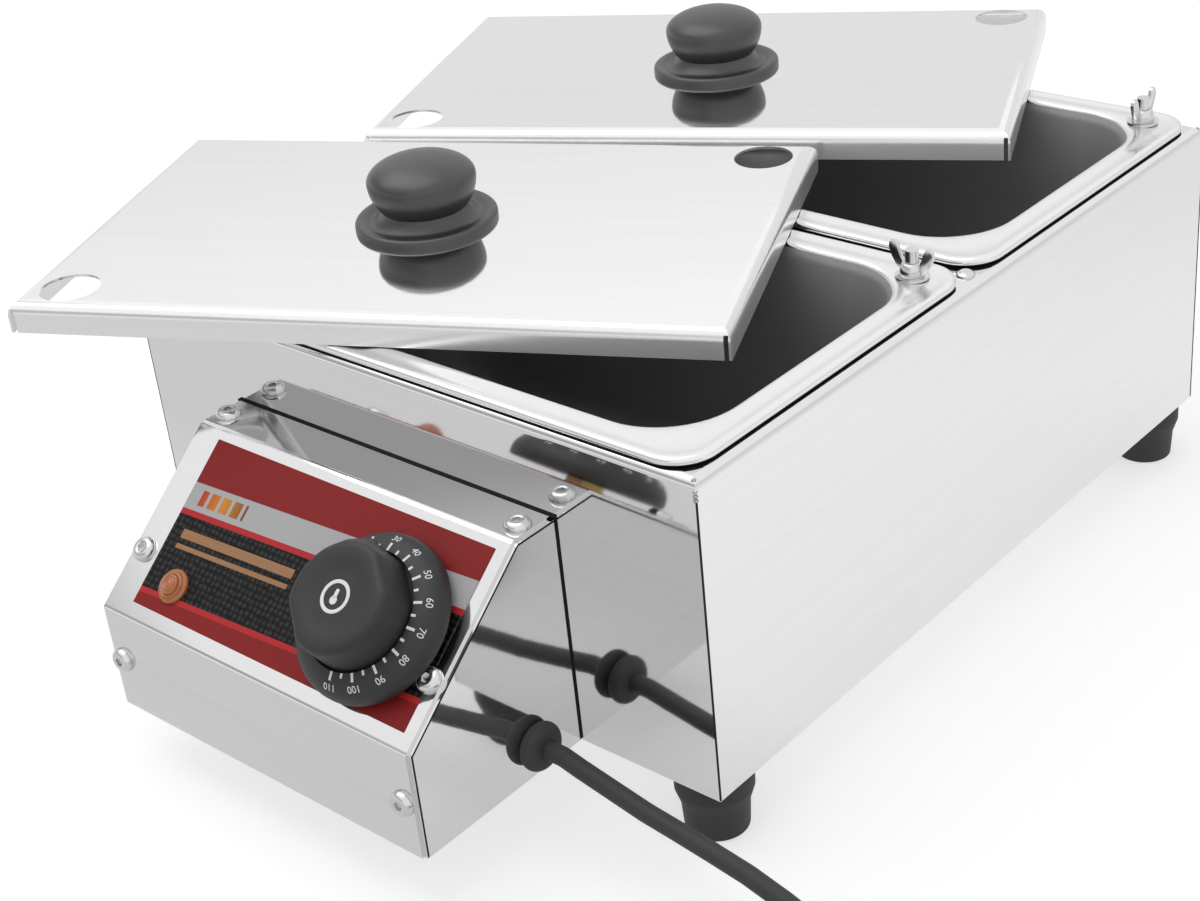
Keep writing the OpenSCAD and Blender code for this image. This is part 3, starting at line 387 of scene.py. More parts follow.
class Shape:
    """A mesh in the making, out of skinned rings."""

    def __init__(self):
        self.mesh = bmesh.new()

    def skin(self, rings, place=Matrix(), loop=False):
        """Join each ring of points to the next, and close both ends or the loop."""
        made = [[self.mesh.verts.new(place @ Vector(p)) for p in ring] for ring in rings]
        faces = []
        pairs = list(zip(made, made[1:])) + ([(made[-1], made[0])] if loop else [])
        for a, b in pairs:
            count = max(len(a), len(b))
            for i in range(count):
                j = (i + 1) % count
                corners = [a[i % len(a)], a[j % len(a)], b[j % len(b)], b[i % len(b)]]
                corners = list(dict.fromkeys(corners))
                if len(corners) > 2:
                    faces.append(self.mesh.faces.new(corners))
        if not loop:
            for ring in (made[0], made[-1]):
                if len(ring) > 2:
                    faces.append(self.mesh.faces.new(ring))
        bmesh.ops.recalc_face_normals(self.mesh, faces=faces)

    def lathe(self, profile, place=Matrix(), steps=64, loop=False):
        """Turn a profile of (radius, height) pairs in mm about its axis."""
        self.skin([circle(radius, height, steps) for radius, height in profile], place, loop)

    def plate(self, outline, low, high, place=Matrix()):
        """Raise an outline from one height to another."""
        self.skin([[(x, y, z) for x, y in outline] for z in (low, high)], place)

    def data(self, name):
        """Plain mesh of the shape, which ends with it."""
        made = bpy.data.meshes.new(name)
        self.mesh.to_mesh(made)
        self.mesh.free()
        return made

    def settle(self, name, finishes, body, slot, nodes=(), crease=38):
        """Close the mesh as an object that rides on its body."""
        data = self.data(name)
        for material in finishes:
            data.materials.append(finish(material))
        return settle_mesh(name, data, body, nodes, crease)


def settle_mesh(name, data, body, nodes=(), crease=38):
    """Object from a finished mesh, smooth but for its creases."""
    data.shade_smooth()
    data.set_sharp_from_angle(angle=math.radians(crease))
    made = show(name, data)
    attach(made, body)
    if nodes:
        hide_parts(*nodes)
    return made


def rounded_ring(half_x, half_y, radius, z, steps):
    """Points in metres round a rectangle with round corners, from sizes in mm."""
    ring = []
    for start, sx, sy in ((0, 1, 1), (90, -1, 1), (180, -1, -1), (270, 1, -1)):
        centre = (sx * (half_x - radius), sy * (half_y - radius))
        ring += [(x * MM, y * MM, z * MM) for x, y in arc(centre, (radius, radius), start, start + 90, steps)]
    return ring


def scatter_tree():
    """Geometry Nodes: one template on every point, turned by the points' own angles."""
    tree = bpy.data.node_groups.new("Set fittings", "GeometryNodeTree")
    for name, kind in (("Places", "Geometry"), ("Fitting", "Object"), ("Size", "Float"),
                       ("Finish", "Material")):
        tree.interface.new_socket(name, in_out="INPUT", socket_type="NodeSocket" + kind)
    tree.interface.new_socket("Fittings", in_out="OUTPUT", socket_type="NodeSocketGeometry")
    add = tree.nodes.new
    start, end = add("NodeGroupInput"), add("NodeGroupOutput")
    info, angle = add("GeometryNodeObjectInfo"), add("GeometryNodeInputNamedAttribute")
    place, real = add("GeometryNodeInstanceOnPoints"), add("GeometryNodeRealizeInstances")
    coat = add("GeometryNodeSetMaterial")
    angle.data_type = "FLOAT_VECTOR"
    angle.inputs["Name"].default_value = "turn"
    for source, output, target, socket in (
            (start, "Places", place, "Points"), (start, "Fitting", info, "Object"),
            (info, "Geometry", place, "Instance"), (angle, "Attribute", place, "Rotation"),
            (start, "Size", place, "Scale"), (place, "Instances", real, "Geometry"),
            (real, "Geometry", coat, "Geometry"), (start, "Finish", coat, "Material"),
            (coat, "Geometry", end, "Fittings")):
        tree.links.new(source.outputs[output], target.inputs[socket])
    return tree


def scatter(name, template, places, material, body, nodes=(), crease=38):
    """Set a template shape at each place and settle the result as one plain mesh."""
    points = bpy.data.meshes.new(name + "_places")
    points.from_pydata([p.translation for p in places], [], [])
    spin = points.attributes.new("turn", "FLOAT_VECTOR", "POINT")
    for i, p in enumerate(places):
        spin.data[i].vector = p.to_euler("XYZ")
    made = show(name + "_points", points)
    model = show(name + "_fitting", template.data(name + "_fitting"))
    tree = bpy.data.node_groups.get("Set fittings") or scatter_tree()
    fittings = made.modifiers.new("Fittings", "NODES")
    fittings.node_group = tree
    keys = {s.name: s.identifier for s in tree.interface.items_tree if s.in_out == "INPUT"}
    for key, value in (("Fitting", model), ("Size", 1.0), ("Finish", finish(material))):
        fittings[keys[key]] = value
    made.update_tag()
    data = final_mesh(made, model)
    data.name = name
    if not data.polygons:
        raise RuntimeError("no fittings were set for " + name)
    return settle_mesh(name, data, body, nodes, crease)


# Settings

COLOUR = {"size": 4, "subtype": "COLOR", "min": 0, "max": 1}


class MelterLook(bpy.types.PropertyGroup):
    """Colours and finishes of the tank."""
    steel_level: bpy.props.FloatProperty(
        name="Steel", description="Brightness of the bare steel sheet", default=0.8, min=0.3, max=0.95,
        subtype="FACTOR")
    # Painted shade: the colour inside the pans stands in for the shade in the deep pans.
    bowl_shade_colour: bpy.props.FloatVectorProperty(
        name="Bowl", description="Colour inside the pans", default=(0.37, 0.37, 0.375, 1), **COLOUR)
    knob_colour: bpy.props.FloatVectorProperty(
        name="Lid knobs", description="Colour of the lid knobs", default=(0.027, 0.028, 0.029, 1), **COLOUR)
    dial_colour: bpy.props.FloatVectorProperty(
        name="Dial", description="Colour of the dial", default=(0.024, 0.024, 0.025, 1), **COLOUR)
    rubber_colour: bpy.props.FloatVectorProperty(
        name="Rubber", description="Colour of the feet, gland and cord", default=(0.036, 0.036, 0.037, 1),
        **COLOUR)
    label_red: bpy.props.FloatVectorProperty(
        name="Label", description="Colour of the printed film", default=(0.29, 0.018, 0.019, 1), **COLOUR)
    accent_red: bpy.props.FloatVectorProperty(
        name="Label lines", description="Colour of the film's thin lines", default=(0.55, 0.03, 0.035, 1),
        **COLOUR)
    lens_colour: bpy.props.FloatVectorProperty(
        name="Pilot lens", description="Colour of the pilot lamp", default=(0.62, 0.2, 0.055, 1), **COLOUR)


class MelterSizes(bpy.types.PropertyGroup):
    """Sizes of the dressed pieces."""
    cord_diameter: bpy.props.FloatProperty(
        name="Cord", description="Diameter of the cord", default=7 * MM, min=5 * MM, max=10 * MM,
        unit="LENGTH")
    groove: bpy.props.FloatProperty(
        name="Flange groove", description="Depth of the groove along a pan's flange", default=0.35 * MM,
        min=0, max=0.9 * MM, unit="LENGTH")
    tick_length: bpy.props.FloatProperty(
        name="Scale lines", description="Length of the dial's long lines", default=3.0 * MM, min=1 * MM,
        max=5 * MM, unit="LENGTH")
    figure_height: bpy.props.FloatProperty(
        name="Figures", description="Height of the dial's figures", default=2.6 * MM, min=1.5 * MM,
        max=5 * MM, unit="LENGTH")
    seam_width: bpy.props.FloatProperty(
        name="Corner seams", description="Width of the dark seam at the corners", default=0.7 * MM,
        min=0.2 * MM, max=2 * MM, unit="LENGTH")


class MelterStage(bpy.types.PropertyGroup):
    """Camera and light."""
    lens: bpy.props.FloatProperty(
        name="Lens", description="Focal length of the camera", default=63.265, min=20, max=200, unit="CAMERA")
    sky: bpy.props.FloatProperty(
        name="Sky light", description="Strength of the even light", default=0.62, min=0, max=1.5)
    wall: bpy.props.FloatProperty(
        name="Dark wall", description="How dark the wall is that the metal mirrors", default=0.54, min=0,
        max=1, subtype="FACTOR")
    key: bpy.props.FloatProperty(
        name="Key light", description="Power of the large lamp", default=5.0, min=0, max=40, unit="POWER")


# Stage and cord

def camera_place():
    """Camera matrix from its heading, tilt and roll."""
    yaw, pitch, roll = (math.radians(a) for a in (43.668, 29.251, 6.067))
    ahead = Vector((-math.sin(yaw) * math.cos(pitch), math.cos(yaw) * math.cos(pitch), -math.sin(pitch)))
    right = Vector((math.cos(yaw), math.sin(yaw), 0))
    down = ahead.cross(right)
    x = math.cos(roll) * right + math.sin(roll) * down
    y = math.sin(roll) * right - math.cos(roll) * down
    made = Matrix((x, y, -ahead)).transposed().to_4x4()
    made.translation = (0.54025, -0.57912, 0.47173)
    return made


class MELTER_OT_stage(bpy.types.Operator):
    """Set the camera, the floor and the light"""
    bl_idname = "melter.stage"
    bl_label = "Stage"

    def execute(self, context):
        stage = context.scene.melter_stage
        context.scene.view_settings.view_transform = "Standard"
        eye = show("camera", bpy.data.cameras.new("camera"))
        eye.data.sensor_width = 36.0
        eye.data.lens = stage.lens
        eye.data.clip_start = 0.01
        eye.matrix_world = camera_place()
        context.scene.camera = eye
        lamp = bpy.data.lights.new("key", "AREA")
        lamp.shape = "RECTANGLE"
        lamp.size, lamp.size_y = 1.4, 1.0
        lamp.energy = stage.key
        key = show("key", lamp)
        key.matrix_world = shift(-0.35, -0.25, 1.35) @ turn(-14, "Y") @ turn(8, "X")
        self.floor()
        self.world(context, stage)
        return {"FINISHED"}

    def seen(self, made):
        """One for rays that reach the eye straight, by mirrors or through glass."""
        path = made.node("ShaderNodeLightPath").socket.node.outputs
        rays = [Value(made, path[n]) for n in ("Is Camera Ray", "Is Glossy Ray", "Is Transmission Ray")]
        return (rays[0] + rays[1] + rays[2]).by("MINIMUM", 1.0)

    def floor(self):
        half, sunk = 6, -0.0002
        data = bpy.data.meshes.new("floor")
        data.from_pydata([(x * half, y * half, sunk) for x, y in CORNERS], [], [(0, 1, 2, 3)])
        made = Finish("floor_white", Roughness=0.9, Base_Color=grey(0.62), Specular_IOR_Level=0.1,
                      Emission_Strength=0.56)
        camera = made.node("ShaderNodeLightPath", output=0)
        x, y, _ = made.axes()
        front = made.span(y, -0.27, -0.08, 0.4, 1.0)
        behind = made.span(x + y, 0.45, 0.75, 1.0, 0.82)
        glow = self.seen(made) * (camera + (1 - camera) * front * behind)
        made.feed(Emission_Color=made.mix(grey(0.0), grey(1.0), glow))
        data.materials.append(made.material)
        floor = show("floor", data)

    def world(self, context, stage):
        world = bpy.data.worlds.new("studio")
        world.use_nodes = True
        context.scene.world = world
        made = Finish("studio", world.node_tree)
        ground = world.node_tree.nodes["Background"]
        seen = self.seen(made)
        ground.inputs["Color"].default_value = (1, 1, 1, 1)
        glossy = made.node("ShaderNodeLightPath", output=3)
        way = made.node("ShaderNodeTexCoord", output=0)
        x, y, z = (made.node("ShaderNodeSeparateXYZ", inputs={0: way}, output=n) for n in range(3))
        near = made.span(-0.69 * x - 0.72 * y, 0.35, 0.6)
        wall = near * made.span(z, 0.1, 0.22) * made.span(z, 0.495, 0.545, 1.0, 0.0)
        haze = made.span(y, 0.1, 0.4) * made.span(z, 0.32, 0.44, 1.0, 0.0)
        dim = glossy * (stage.wall * wall + 0.2 * haze)
        made.tree.links.new((stage.sky + (1.0 - stage.sky) * seen - dim).socket, ground.inputs["Strength"])


COIL = from_tank(241, -236, 0)


def cord_line():
    """Middle line of the cord: out of the gland, down to the floor and round the coil."""
    out = [from_tank(*p) for p in (
        (81.1, -188.3, 37), (88.1, -188.3, 37), (96, -188.4, 35.2), (110, -188.6, 32.6), (124, -188.8, 30),
        (138, -189, 28.4), (152, -189.2, 26.6), (166, -189.3, 24.4), (180, -189.3, 20.6),
        (194, -189.2, 15.4), (208, -189.1, 10), (222, -189, 5.4), (227, -189, 4.1), (234, -189, 3.6))]
    turns, per_turn = 4.25, 36
    radius, pitch, low, layer, tail = 47, 7.6, 3.6, 7.5, 24
    for i in range(int(turns * per_turn) + 1):
        t = i / per_turn
        reach = radius - pitch * min(t, turns - t)
        climb = min(max((t - turns / 2) / 0.5 + 0.5, 0), 1)
        out.append(COIL + Vector((reach * math.sin(2 * math.pi * t), reach * math.cos(2 * math.pi * t),
                                  low + layer * (1 - math.cos(math.pi * climb)) / 2)) * MM)
    return out + [out[-1] - Vector((0, tail * MM, 0))]


class MELTER_OT_cord(bpy.types.Operator):
    """Lay the cord from its gland to the coil, with the plug and a tie"""
    bl_idname = "melter.cord"
    bl_label = "Cord"

    def execute(self, context):
        sizes = context.scene.melter_sizes
        line = cord_line()
        gland = self.gland(line[0])
        plug = self.plug(line[-1])
        tie = self.tie()
        curve = bpy.data.curves.new("mains_cord", "CURVE")
        curve.dimensions = "3D"
        path = curve.splines.new("POLY")
        path.points.add(len(line) - 1)
        for point, place in zip(path.points, line):
            point.co = (*place, 1)
        curve.bevel_depth = sizes.cord_diameter / 2
        curve.bevel_resolution = 5
        curve.use_fill_caps = True
        path.use_smooth = True
        curve.materials.append(finish("cord_rubber"))
        cord = show("mains_cord", curve)
        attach(cord, "tank")
        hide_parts("power_cord", "cord_coil")
        length = sum((b - a).length for a, b in zip(line, line[1:]))
        dress("brass", "plug_pins")
        return {"FINISHED"}

    def gland(self, exit_point):
        made = Shape()
        place = shift(BODY_HI.x, exit_point.y, exit_point.z) @ turn(90, "Y")
        profile = [(0, -4.0), (7.0, -4.0), (7.0, -1.0), (5.5, -1.0), (5.5, 0.0), (6.6, 0.0)]
        profile += arc((6.0, 3.2), (3.0, 3.2), -80, 80, 10)
        profile += [(5.4, 6.45), (4.6, 6.6), (3.55, 6.6), (0, 6.6)]
        made.lathe(profile, place)
        return made.settle("gland_bead", ["foot_rubber"], "tank", "grey_rubber", ["cord_gland"], 50)

    def plug(self, end):
        made = Shape()
        place = shift(*end) @ turn(90, "Z") @ turn(-90, "Y")
        relief = [(0, 0.0), (3.6, 0.0), (4.4, 0.3)]
        for i in range(6):
            start, radius = 1.0 + 3.7 * i, 4.5 + 0.27 * i
            relief += [(radius, start), (radius + 0.25, start + 2.3), (radius - 0.7, start + 2.5),
                       (radius - 0.7, start + 3.5)]
        relief += [(6.0, 23.3), (6.0, 24.5), (0, 24.5)]
        made.lathe(relief, place, 40)
        half_h, half_w = 11.0, 17.9
        rows = ((4.5, 23.6, 5.0), (1.6, 24.6, 6.0), (0.4, 26.5, 6.5), (0.0, 30, 7.0), (0.6, 38, 7.0),
                (1.6, 46, 6.5), (1.2, 52, 6.5), (0.2, 56, 6.8), (0.4, 57.4, 6.5), (1.2, 58.0, 6.0))
        made.skin([rounded_ring(half_h - shrink, half_w - shrink, radius, along, 8)
                   for shrink, along, radius in rows], place)
        return made.settle("plug_moulding", ["cord_rubber"], "tank", "cord_rubber", ["plug_body"], 45)

    def tie(self):
        """Flat band round the coil's turns on its right."""
        made = Shape()
        inner, outer, low, top, wall, under, half = 26.8, 52.2, 0.05, 16.0, 0.7, 0.035, 3
        rings = []
        for y, t, u in ((-half, 0, 0), (half, 0, 0), (half, wall, under), (-half, wall, under)):
            section = (inner + t, low + u), (outer - t, low + u), (outer - t, top - t), (inner + t, top - t)
            rings.append([(x * MM, y * MM, z * MM) for x, z in section])
        made.skin(rings, shift(*COIL) @ turn(20, "Z"), True)
        return made.settle("cord_tie", ["black_plastic"], "tank", "black_plastic")


# Casing, pans and lids

class MELTER_OT_casing(bpy.types.Operator):
    """Finish the casing, its corner seams, rail and rivets"""
    bl_idname = "melter.casing"
    bl_label = "Casing"

    def execute(self, context):
        width = context.scene.melter_sizes.seam_width
        dress("casing_steel", "casing_shell", "base_plate", "cross_rail")
        dress("bright_steel", "foot_screws", "foot_nuts", "box_rivets")
        seams, beads = Shape(), Shape()
        top, proud, sunk, bead = CASING_HI.z - 4.2 * MM, 0.05 * MM, -0.3 * MM, 0.35 * MM
        for x, sx in ((CASING_LO.x, -1), (CASING_HI.x, 1)):
            for y, sy in ((CASING_LO.y, -1), (CASING_HI.y, 1)):
                corner = shift(x, y, 0) @ Matrix.Diagonal((sx, sy, 1, 1))
                strip = [(proud, -width), (proud, proud), (sunk, proud), (sunk, -width)]
                seams.plate(strip, CASING_LO.z + 0.3 * MM, top, corner)
                for i in range(9):
                    rise = top - 2.5 * MM + 0.75 * MM * i
                    lean = bead + max(0, i - 3) * 0.32 * MM
                    size = 0.75 + 0.25 * math.sin(3.1 * i + sx)
                    spot = corner @ shift(-lean, -lean, rise)
                    beads.lathe(arc((0, 0), (size, 0.7 * size), -90, 90, 6), spot, 10)
        seams.settle("corner_seams", ["seam_dark"], "tank", "casing_steel")
        beads.settle("corner_welds", ["weld_bead"], "tank", "bright_steel")
        rivet = Shape()
        profile = [(0, -0.4), (3.5, -0.4)] + arc((1.2, 0.15), (2.3, 1.4), 0, 90, 7)
        rivet.lathe(profile + [(0, 1.5)], steps=32)
        lo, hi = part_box("rail_rivets")
        head_r = 3.5 * MM
        places = [shift(x, TANK.y, CASING_HI.z) for x in (lo.x + head_r, hi.x - head_r)]
        scatter("web_rivets", rivet, places, "bright_steel", "tank")
        dress("bright_steel", "rail_rivets")
        return {"FINISHED"}


def pan_rings(groove):
    """Sections of a pan, up outside, over the rim and down inside, as (inset, height, corner) rows."""
    base, depth, corner = 34, 100, 12
    outer_r, inner_r, roll_r, lip_r = 15, 14, 1.75, 1.8
    sixths = [math.pi / 12 * i for i in range(1, 7)]
    rows = [(base, -depth, corner)]
    rows += [(base - outer_r * math.sin(a), outer_r * (1 - math.cos(a)) - depth,
              corner + outer_r * math.sin(a)) for a in sixths]
    rows += [(13.0, -5.0, 29.0), (11.0, -1.0, 31.0)]
    roll = len(rows)
    rows += [(inset, z, 15 - inset) for inset, z in arc((roll_r, -roll_r), (roll_r, roll_r), 25, -270, 16)]
    for inset, dip, round_r in ((2.6, 0.06, 12.6), (3.4, 0.35, 12.6), (4.2, 0.75, 13.4), (5.2, 1.0, 15.0),
                                (6.2, 1.0, 17.0), (7.2, 0.75, 19.2), (8.2, 0.35, 21.6), (9.0, 0.12, 23.6),
                                (9.8, 0.06, 25.4)):
        rows.append((inset, -groove / MM * dip, round_r))
    rows += [(10.5 + lip_r * math.sin(a), -0.04 - lip_r * (1 - math.cos(a)), 27 + 2.4 * math.sin(a))
             for a in (math.pi / 14 * i for i in range(1, 7))]
    # From this row on, the rows inside the pan take the darker bowl finish, a painted shade.
    dark = len(rows)
    rows += [(13.2, -3.0, 29.0), (14.0, -5.0, 28.0), (17.0, -45.0, 27.0), (20.0, -85.0, 26.0)]
    rows += [(base - inner_r * math.cos(a), -85 - inner_r * math.sin(a), corner + inner_r * math.cos(a))
             for a in sixths]
    return rows, roll, dark


class MELTER_OT_pans(bpy.types.Operator):
    """Make the two pans with their rolled rims, and finish what lies under them"""
    bl_idname = "melter.pans"
    bl_label = "Pans"

    def execute(self, context):
        rows, roll, dark = pan_rings(context.scene.melter_sizes.groove)
        for name in ("front_pan", "rear_pan"):
            lo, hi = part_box(name)
            place = middle(name, hi.z)
            half_x, half_y = (hi.x - lo.x) / 2 / MM, (hi.y - lo.y) / 2 / MM
            rings = [rounded_ring(half_x - d, half_y - d, r, z, 12) for d, z, r in rows]
            made = Shape()
            made.skin(rings, place)
            per_ring = len(rings[0])
            made.mesh.faces.ensure_lookup_table()
            # Painted shade: the inside walls and the inside base take the darker bowl finish.
            for face in made.mesh.faces[per_ring * (dark - 1):-2]:
                face.material_index = 1
            made.mesh.faces[-1].material_index = 1
            # Painted shade: the underside of the rolled rim takes the dark seam finish, for the shadow in the
            # gap over the casing.
            for face in made.mesh.faces[per_ring * (roll + 5):per_ring * (roll + 10)]:
                face.material_index = 2
            made.settle(name.replace("_pan", "_basin"), ["pan_steel", "bowl_dark", "seam_dark"], "tank",
                        "pan_steel", [name], 50)
        dress("heater_pad", "front_heater", "rear_heater")
        dress("insulation", "insulation_mat")
        dress("bright_steel", "pan_studs", "stud_washers")
        return {"FINISHED"}


LID_PLACES = {
    "front_lid": shift(*from_tank(-56, -85, 151.25)) @ turn(LID_TURN, "Z"),
    "rear_lid": (shift(*from_tank(-63.5, 103, 150.1)) @ turn(LID_TURN, "Z")
                 @ turn(-0.44, "Y") @ turn(-1.42, "X")),
}


class MELTER_OT_lids(bpy.types.Operator):
    """Fold the lids and turn their knobs"""
    bl_idname = "melter.lids"
    bl_label = "Lids and knobs"

    def execute(self, context):
        for lid, place in LID_PLACES.items():
            self.sheet(lid, place)
            profile = [(0, 0.0), (27.25, 0.0), (27.25, 1.0)] + arc((25.45, 1.4), (1.8, 1.75), 0, 85, 7)
            profile += [(24.6, 3.1), (23.4, 2.8), (22.3, 2.2), (21.4, 1.9), (20.4, 2.0), (19.3, 2.7),
                        (18.2, 3.8), (17.3, 5.0), (16.7, 6.1)]
            profile += arc((0, 17.5), (20.75, 18.15), -37.3, -2, 10)
            profile += arc((0, 17.5), (20.75, 9.0), 0, 90, 16)
            made = Shape()
            made.lathe(profile, place @ shift(0, 0, LID_H * MM), 72)
            made.settle(lid + "_grip", ["knob_plastic"], lid, "knob_plastic", [lid + "_knob"], 60)
            dress("bright_steel", lid.replace("_lid", "_knob_screw"))
        return {"FINISHED"}

    def sheet(self, lid, place):
        """Folded sheet with rounded edges, slit corners and holes for the wing nuts."""
        half_x, half_y, bend, wall, steps = 135, 82.5, 5, 1, 12
        hole_x, hole_y, hole_r, low, high = 116.5, 67, 11.5, -1, 14
        slit, slit_reach, slit_top, bite = 1.65, 2.5, 9, 0.05

        def fold(radius):
            """One face of the folded edge, as (inset, height) rows."""
            return [(bend - radius, 0)] + arc((bend, LID_H - bend), (radius, radius), 180, 90, steps)

        rows = fold(bend - wall)[::-1] + fold(bend)
        body, cutter = Shape(), Shape()
        body.skin([[(x * (half_x - d) * MM, y * (half_y - d) * MM, z * MM) for x, y in CORNERS]
                   for d, z in rows], place)
        along = half_x - wall + bite - slit / 2
        box = [(x * slit / 2 * MM, y * slit_reach * MM) for x, y in CORNERS]
        for side in (-1, 1):
            hole = shift(side * hole_x * MM, side * hole_y * MM, 0)
            cutter.lathe([(0, low), (hole_r, low), (hole_r, high), (0, high)], place @ hole)
            for end in (-1, 1):
                corner = shift(end * along * MM, side * half_y * MM, 0)
                cutter.plate(box, low * MM, slit_top * MM, place @ corner)
        sheet, holes = (show(lid, shape.data(lid)) for shape in (body, cutter))
        cut = sheet.modifiers.new("Holes", "BOOLEAN")
        cut.object = holes
        cut.solver = "EXACT"
        data = final_mesh(sheet, holes)
        if len(data.polygons) < 4 * len(rows):
            raise RuntimeError("the sheet of " + lid + " was not cut")
        data.materials.append(finish("lid_steel"))
        settle_mesh(lid + "_sheet", data, lid, [lid], 30)
        largest_bent = 1900 * MM * MM
        for face in data.polygons:
            face.use_smooth = face.area < largest_bent


class MELTER_OT_wing_nuts(bpy.types.Operator):
    """Make the wing nuts on the pans' studs"""
    bl_idname = "melter.wing_nuts"
    bl_label = "Wing nuts"

    def execute(self, context):
        for name, angle in (("front_wing_nut", -6), ("rear_wing_nut", 92)):
            place = middle(name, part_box(name)[0].z) @ turn(angle, "Z")
            made = Shape()
            hub = [(2.6, 0.0), (4.4, 0.0), (4.6, 0.3), (4.4, 2.4), (3.7, 4.6), (3.4, 4.8), (2.6, 4.8)]
            made.lathe(hub, place, 40, True)
            outline = [(2.9, 0.5), (4.9, 0.6), (6.8, 2.4), (8.8, 5.4)]
            outline += arc((7.9, 8.9), (2.1, 2.5), -25, 165, 12) + [(4.9, 6.9), (3.8, 4.9), (3.0, 4.3)]
            mid_x, mid_z = 6.2, 5.6
            rings = [[((mid_x + (x - mid_x) * share) * MM, (mid_z + (z - mid_z) * share) * MM, depth * MM)
                      for x, z in outline]
                     for depth, share in ((-0.85, 0.88), (-0.65, 0.97), (0, 1.0), (0.65, 0.97), (0.85, 0.88))]
            for side in (0, 180):
                made.skin(rings, place @ turn(side, "Z") @ turn(90, "X"))
            made.settle(name + "_pressed", ["bright_steel"], name, "bright_steel", [name], 40)
        return {"FINISHED"}


# Control box

class MELTER_OT_control_box(bpy.types.Operator):
    """Finish the control box, its printed panel, screws and pilot lamp"""
    bl_idname = "melter.control_box"
    bl_label = "Control box"

    def execute(self, context):
        dress("casing_steel", "control_body", "control_cover")
        dress("label_film", "label_plate")
        self.seams()
        self.screws()
        self.lamp()
        dress("black_plastic", "pilot_body", "wall_grommet", "wiring")
        dress("cream_plastic", "thermostat_body", "terminal_block")
        dress("brass", "thermostat_nut", "thermostat_shaft", "sensor_bulb")
        return {"FINISHED"}

    def seams(self):
        """Painted shade: dark strips under the cover's edges and where the box meets the casing, for the
        shade in the gaps there.
        """
        made = Shape()
        front, knee, top = COVER_LO.y, CASING_LO.z + KNEE_H, COVER_HI.z
        tilt, level = (1 - math.sin(SLOPE)) / math.cos(SLOPE), (1 - math.cos(SLOPE)) / math.sin(SLOPE)
        reach, low = (top - knee) / math.tan(SLOPE), CASING_LO.z + 0.5 * MM

        def edge(d):
            return [(front + d, low), (front + d, knee - d * tilt),
                    (front + reach + d * level, top - d), (CASING_LO.y, top - d)]

        for x, side in ((BODY_LO.x, -1), (BODY_HI.x, 1)):
            face, back = x + side * 0.06 * MM, x - side * 0.2 * MM
            made.skin([[(face, *a), (face, *b), (back, *b), (back, *a)]
                       for a, b in zip(edge(1.1 * MM), edge(1.8 * MM))])
            made.skin([[(x + side * t * MM, CASING_LO.y - w * MM, z) for t, w in
                        ((-0.2, 0), (0.1, 0), (0.1, 0.8), (-0.2, 0.8))] for z in (low, top)])
        made.skin([[(x, CASING_LO.y - w * MM, top + t * MM) for t, w in
                    ((-0.2, 0), (0.12, 0), (0.12, 1.0), (-0.2, 1.0))] for x in (BODY_LO.x, BODY_HI.x)])
        made.settle("box_seams", ["seam_dark"], "tank", "casing_steel")

    def screws(self):
        head = Shape()
        steps, sides, socket_r = 36, 6, 1.8

        def hexagon(height):
            ends = [Vector(p) for p in circle(socket_r, height, sides)]
            shares = [i * sides / steps for i in range(steps // sides)]
            return [a.lerp(b, share) for a, b in zip(ends, ends[1:] + ends[:1]) for share in shares]

        profile = [(2.5, -7.5), (2.5, 0.0), (4.6, 0.0), (4.8, 0.25)] + arc((2.6, 0.3), (2.2, 2.4), 8, 90, 7)
        rows = [circle(r, h, steps) for r, h in profile + [(2.1, 2.62)]]
        head.skin(rows + [hexagon(2.45), hexagon(1.1), circle(0, 1.0, steps)])
        places = []
        for x in (BODY_LO.x + SCREW_INSET, BODY_HI.x - SCREW_INSET):
            places += [shift(x, CASING_LO.y - 11 * MM, COVER_HI.z), on_panel(x - BODY_LO.x, 25.2 * MM),
                       shift(x, COVER_LO.y, CASING_LO.z + 21 * MM) @ turn(90, "X")]
        scatter("cover_button_screws", head, places, "bright_steel", "tank",
                ["cover_screws"], 40)

    def lamp(self):
        made = Shape()
        place = on_panel(PILOT_U, PILOT_V, 0.4 * MM)
        profile = [(0, 0.0), (6.5, 0.0), (6.5, 0.9), (6.2, 1.25), (5.3, 1.3), (5.1, 1.5)]
        for i in range(4):
            r = 4.9 - 1.2 * i
            h = 1.5 + 2.3 * math.sqrt(max(0, 1 - (r / 5.1) ** 2))
            profile += [(r, h), (r - 0.5, h + 0.22), (r - 0.9, h + 0.05)]
        made.lathe(profile + [(0, 3.95)], place, 48)
        made.settle("pilot_glass", ["amber_lens"], "tank", "amber_lens", ["pilot_lens"], 30)


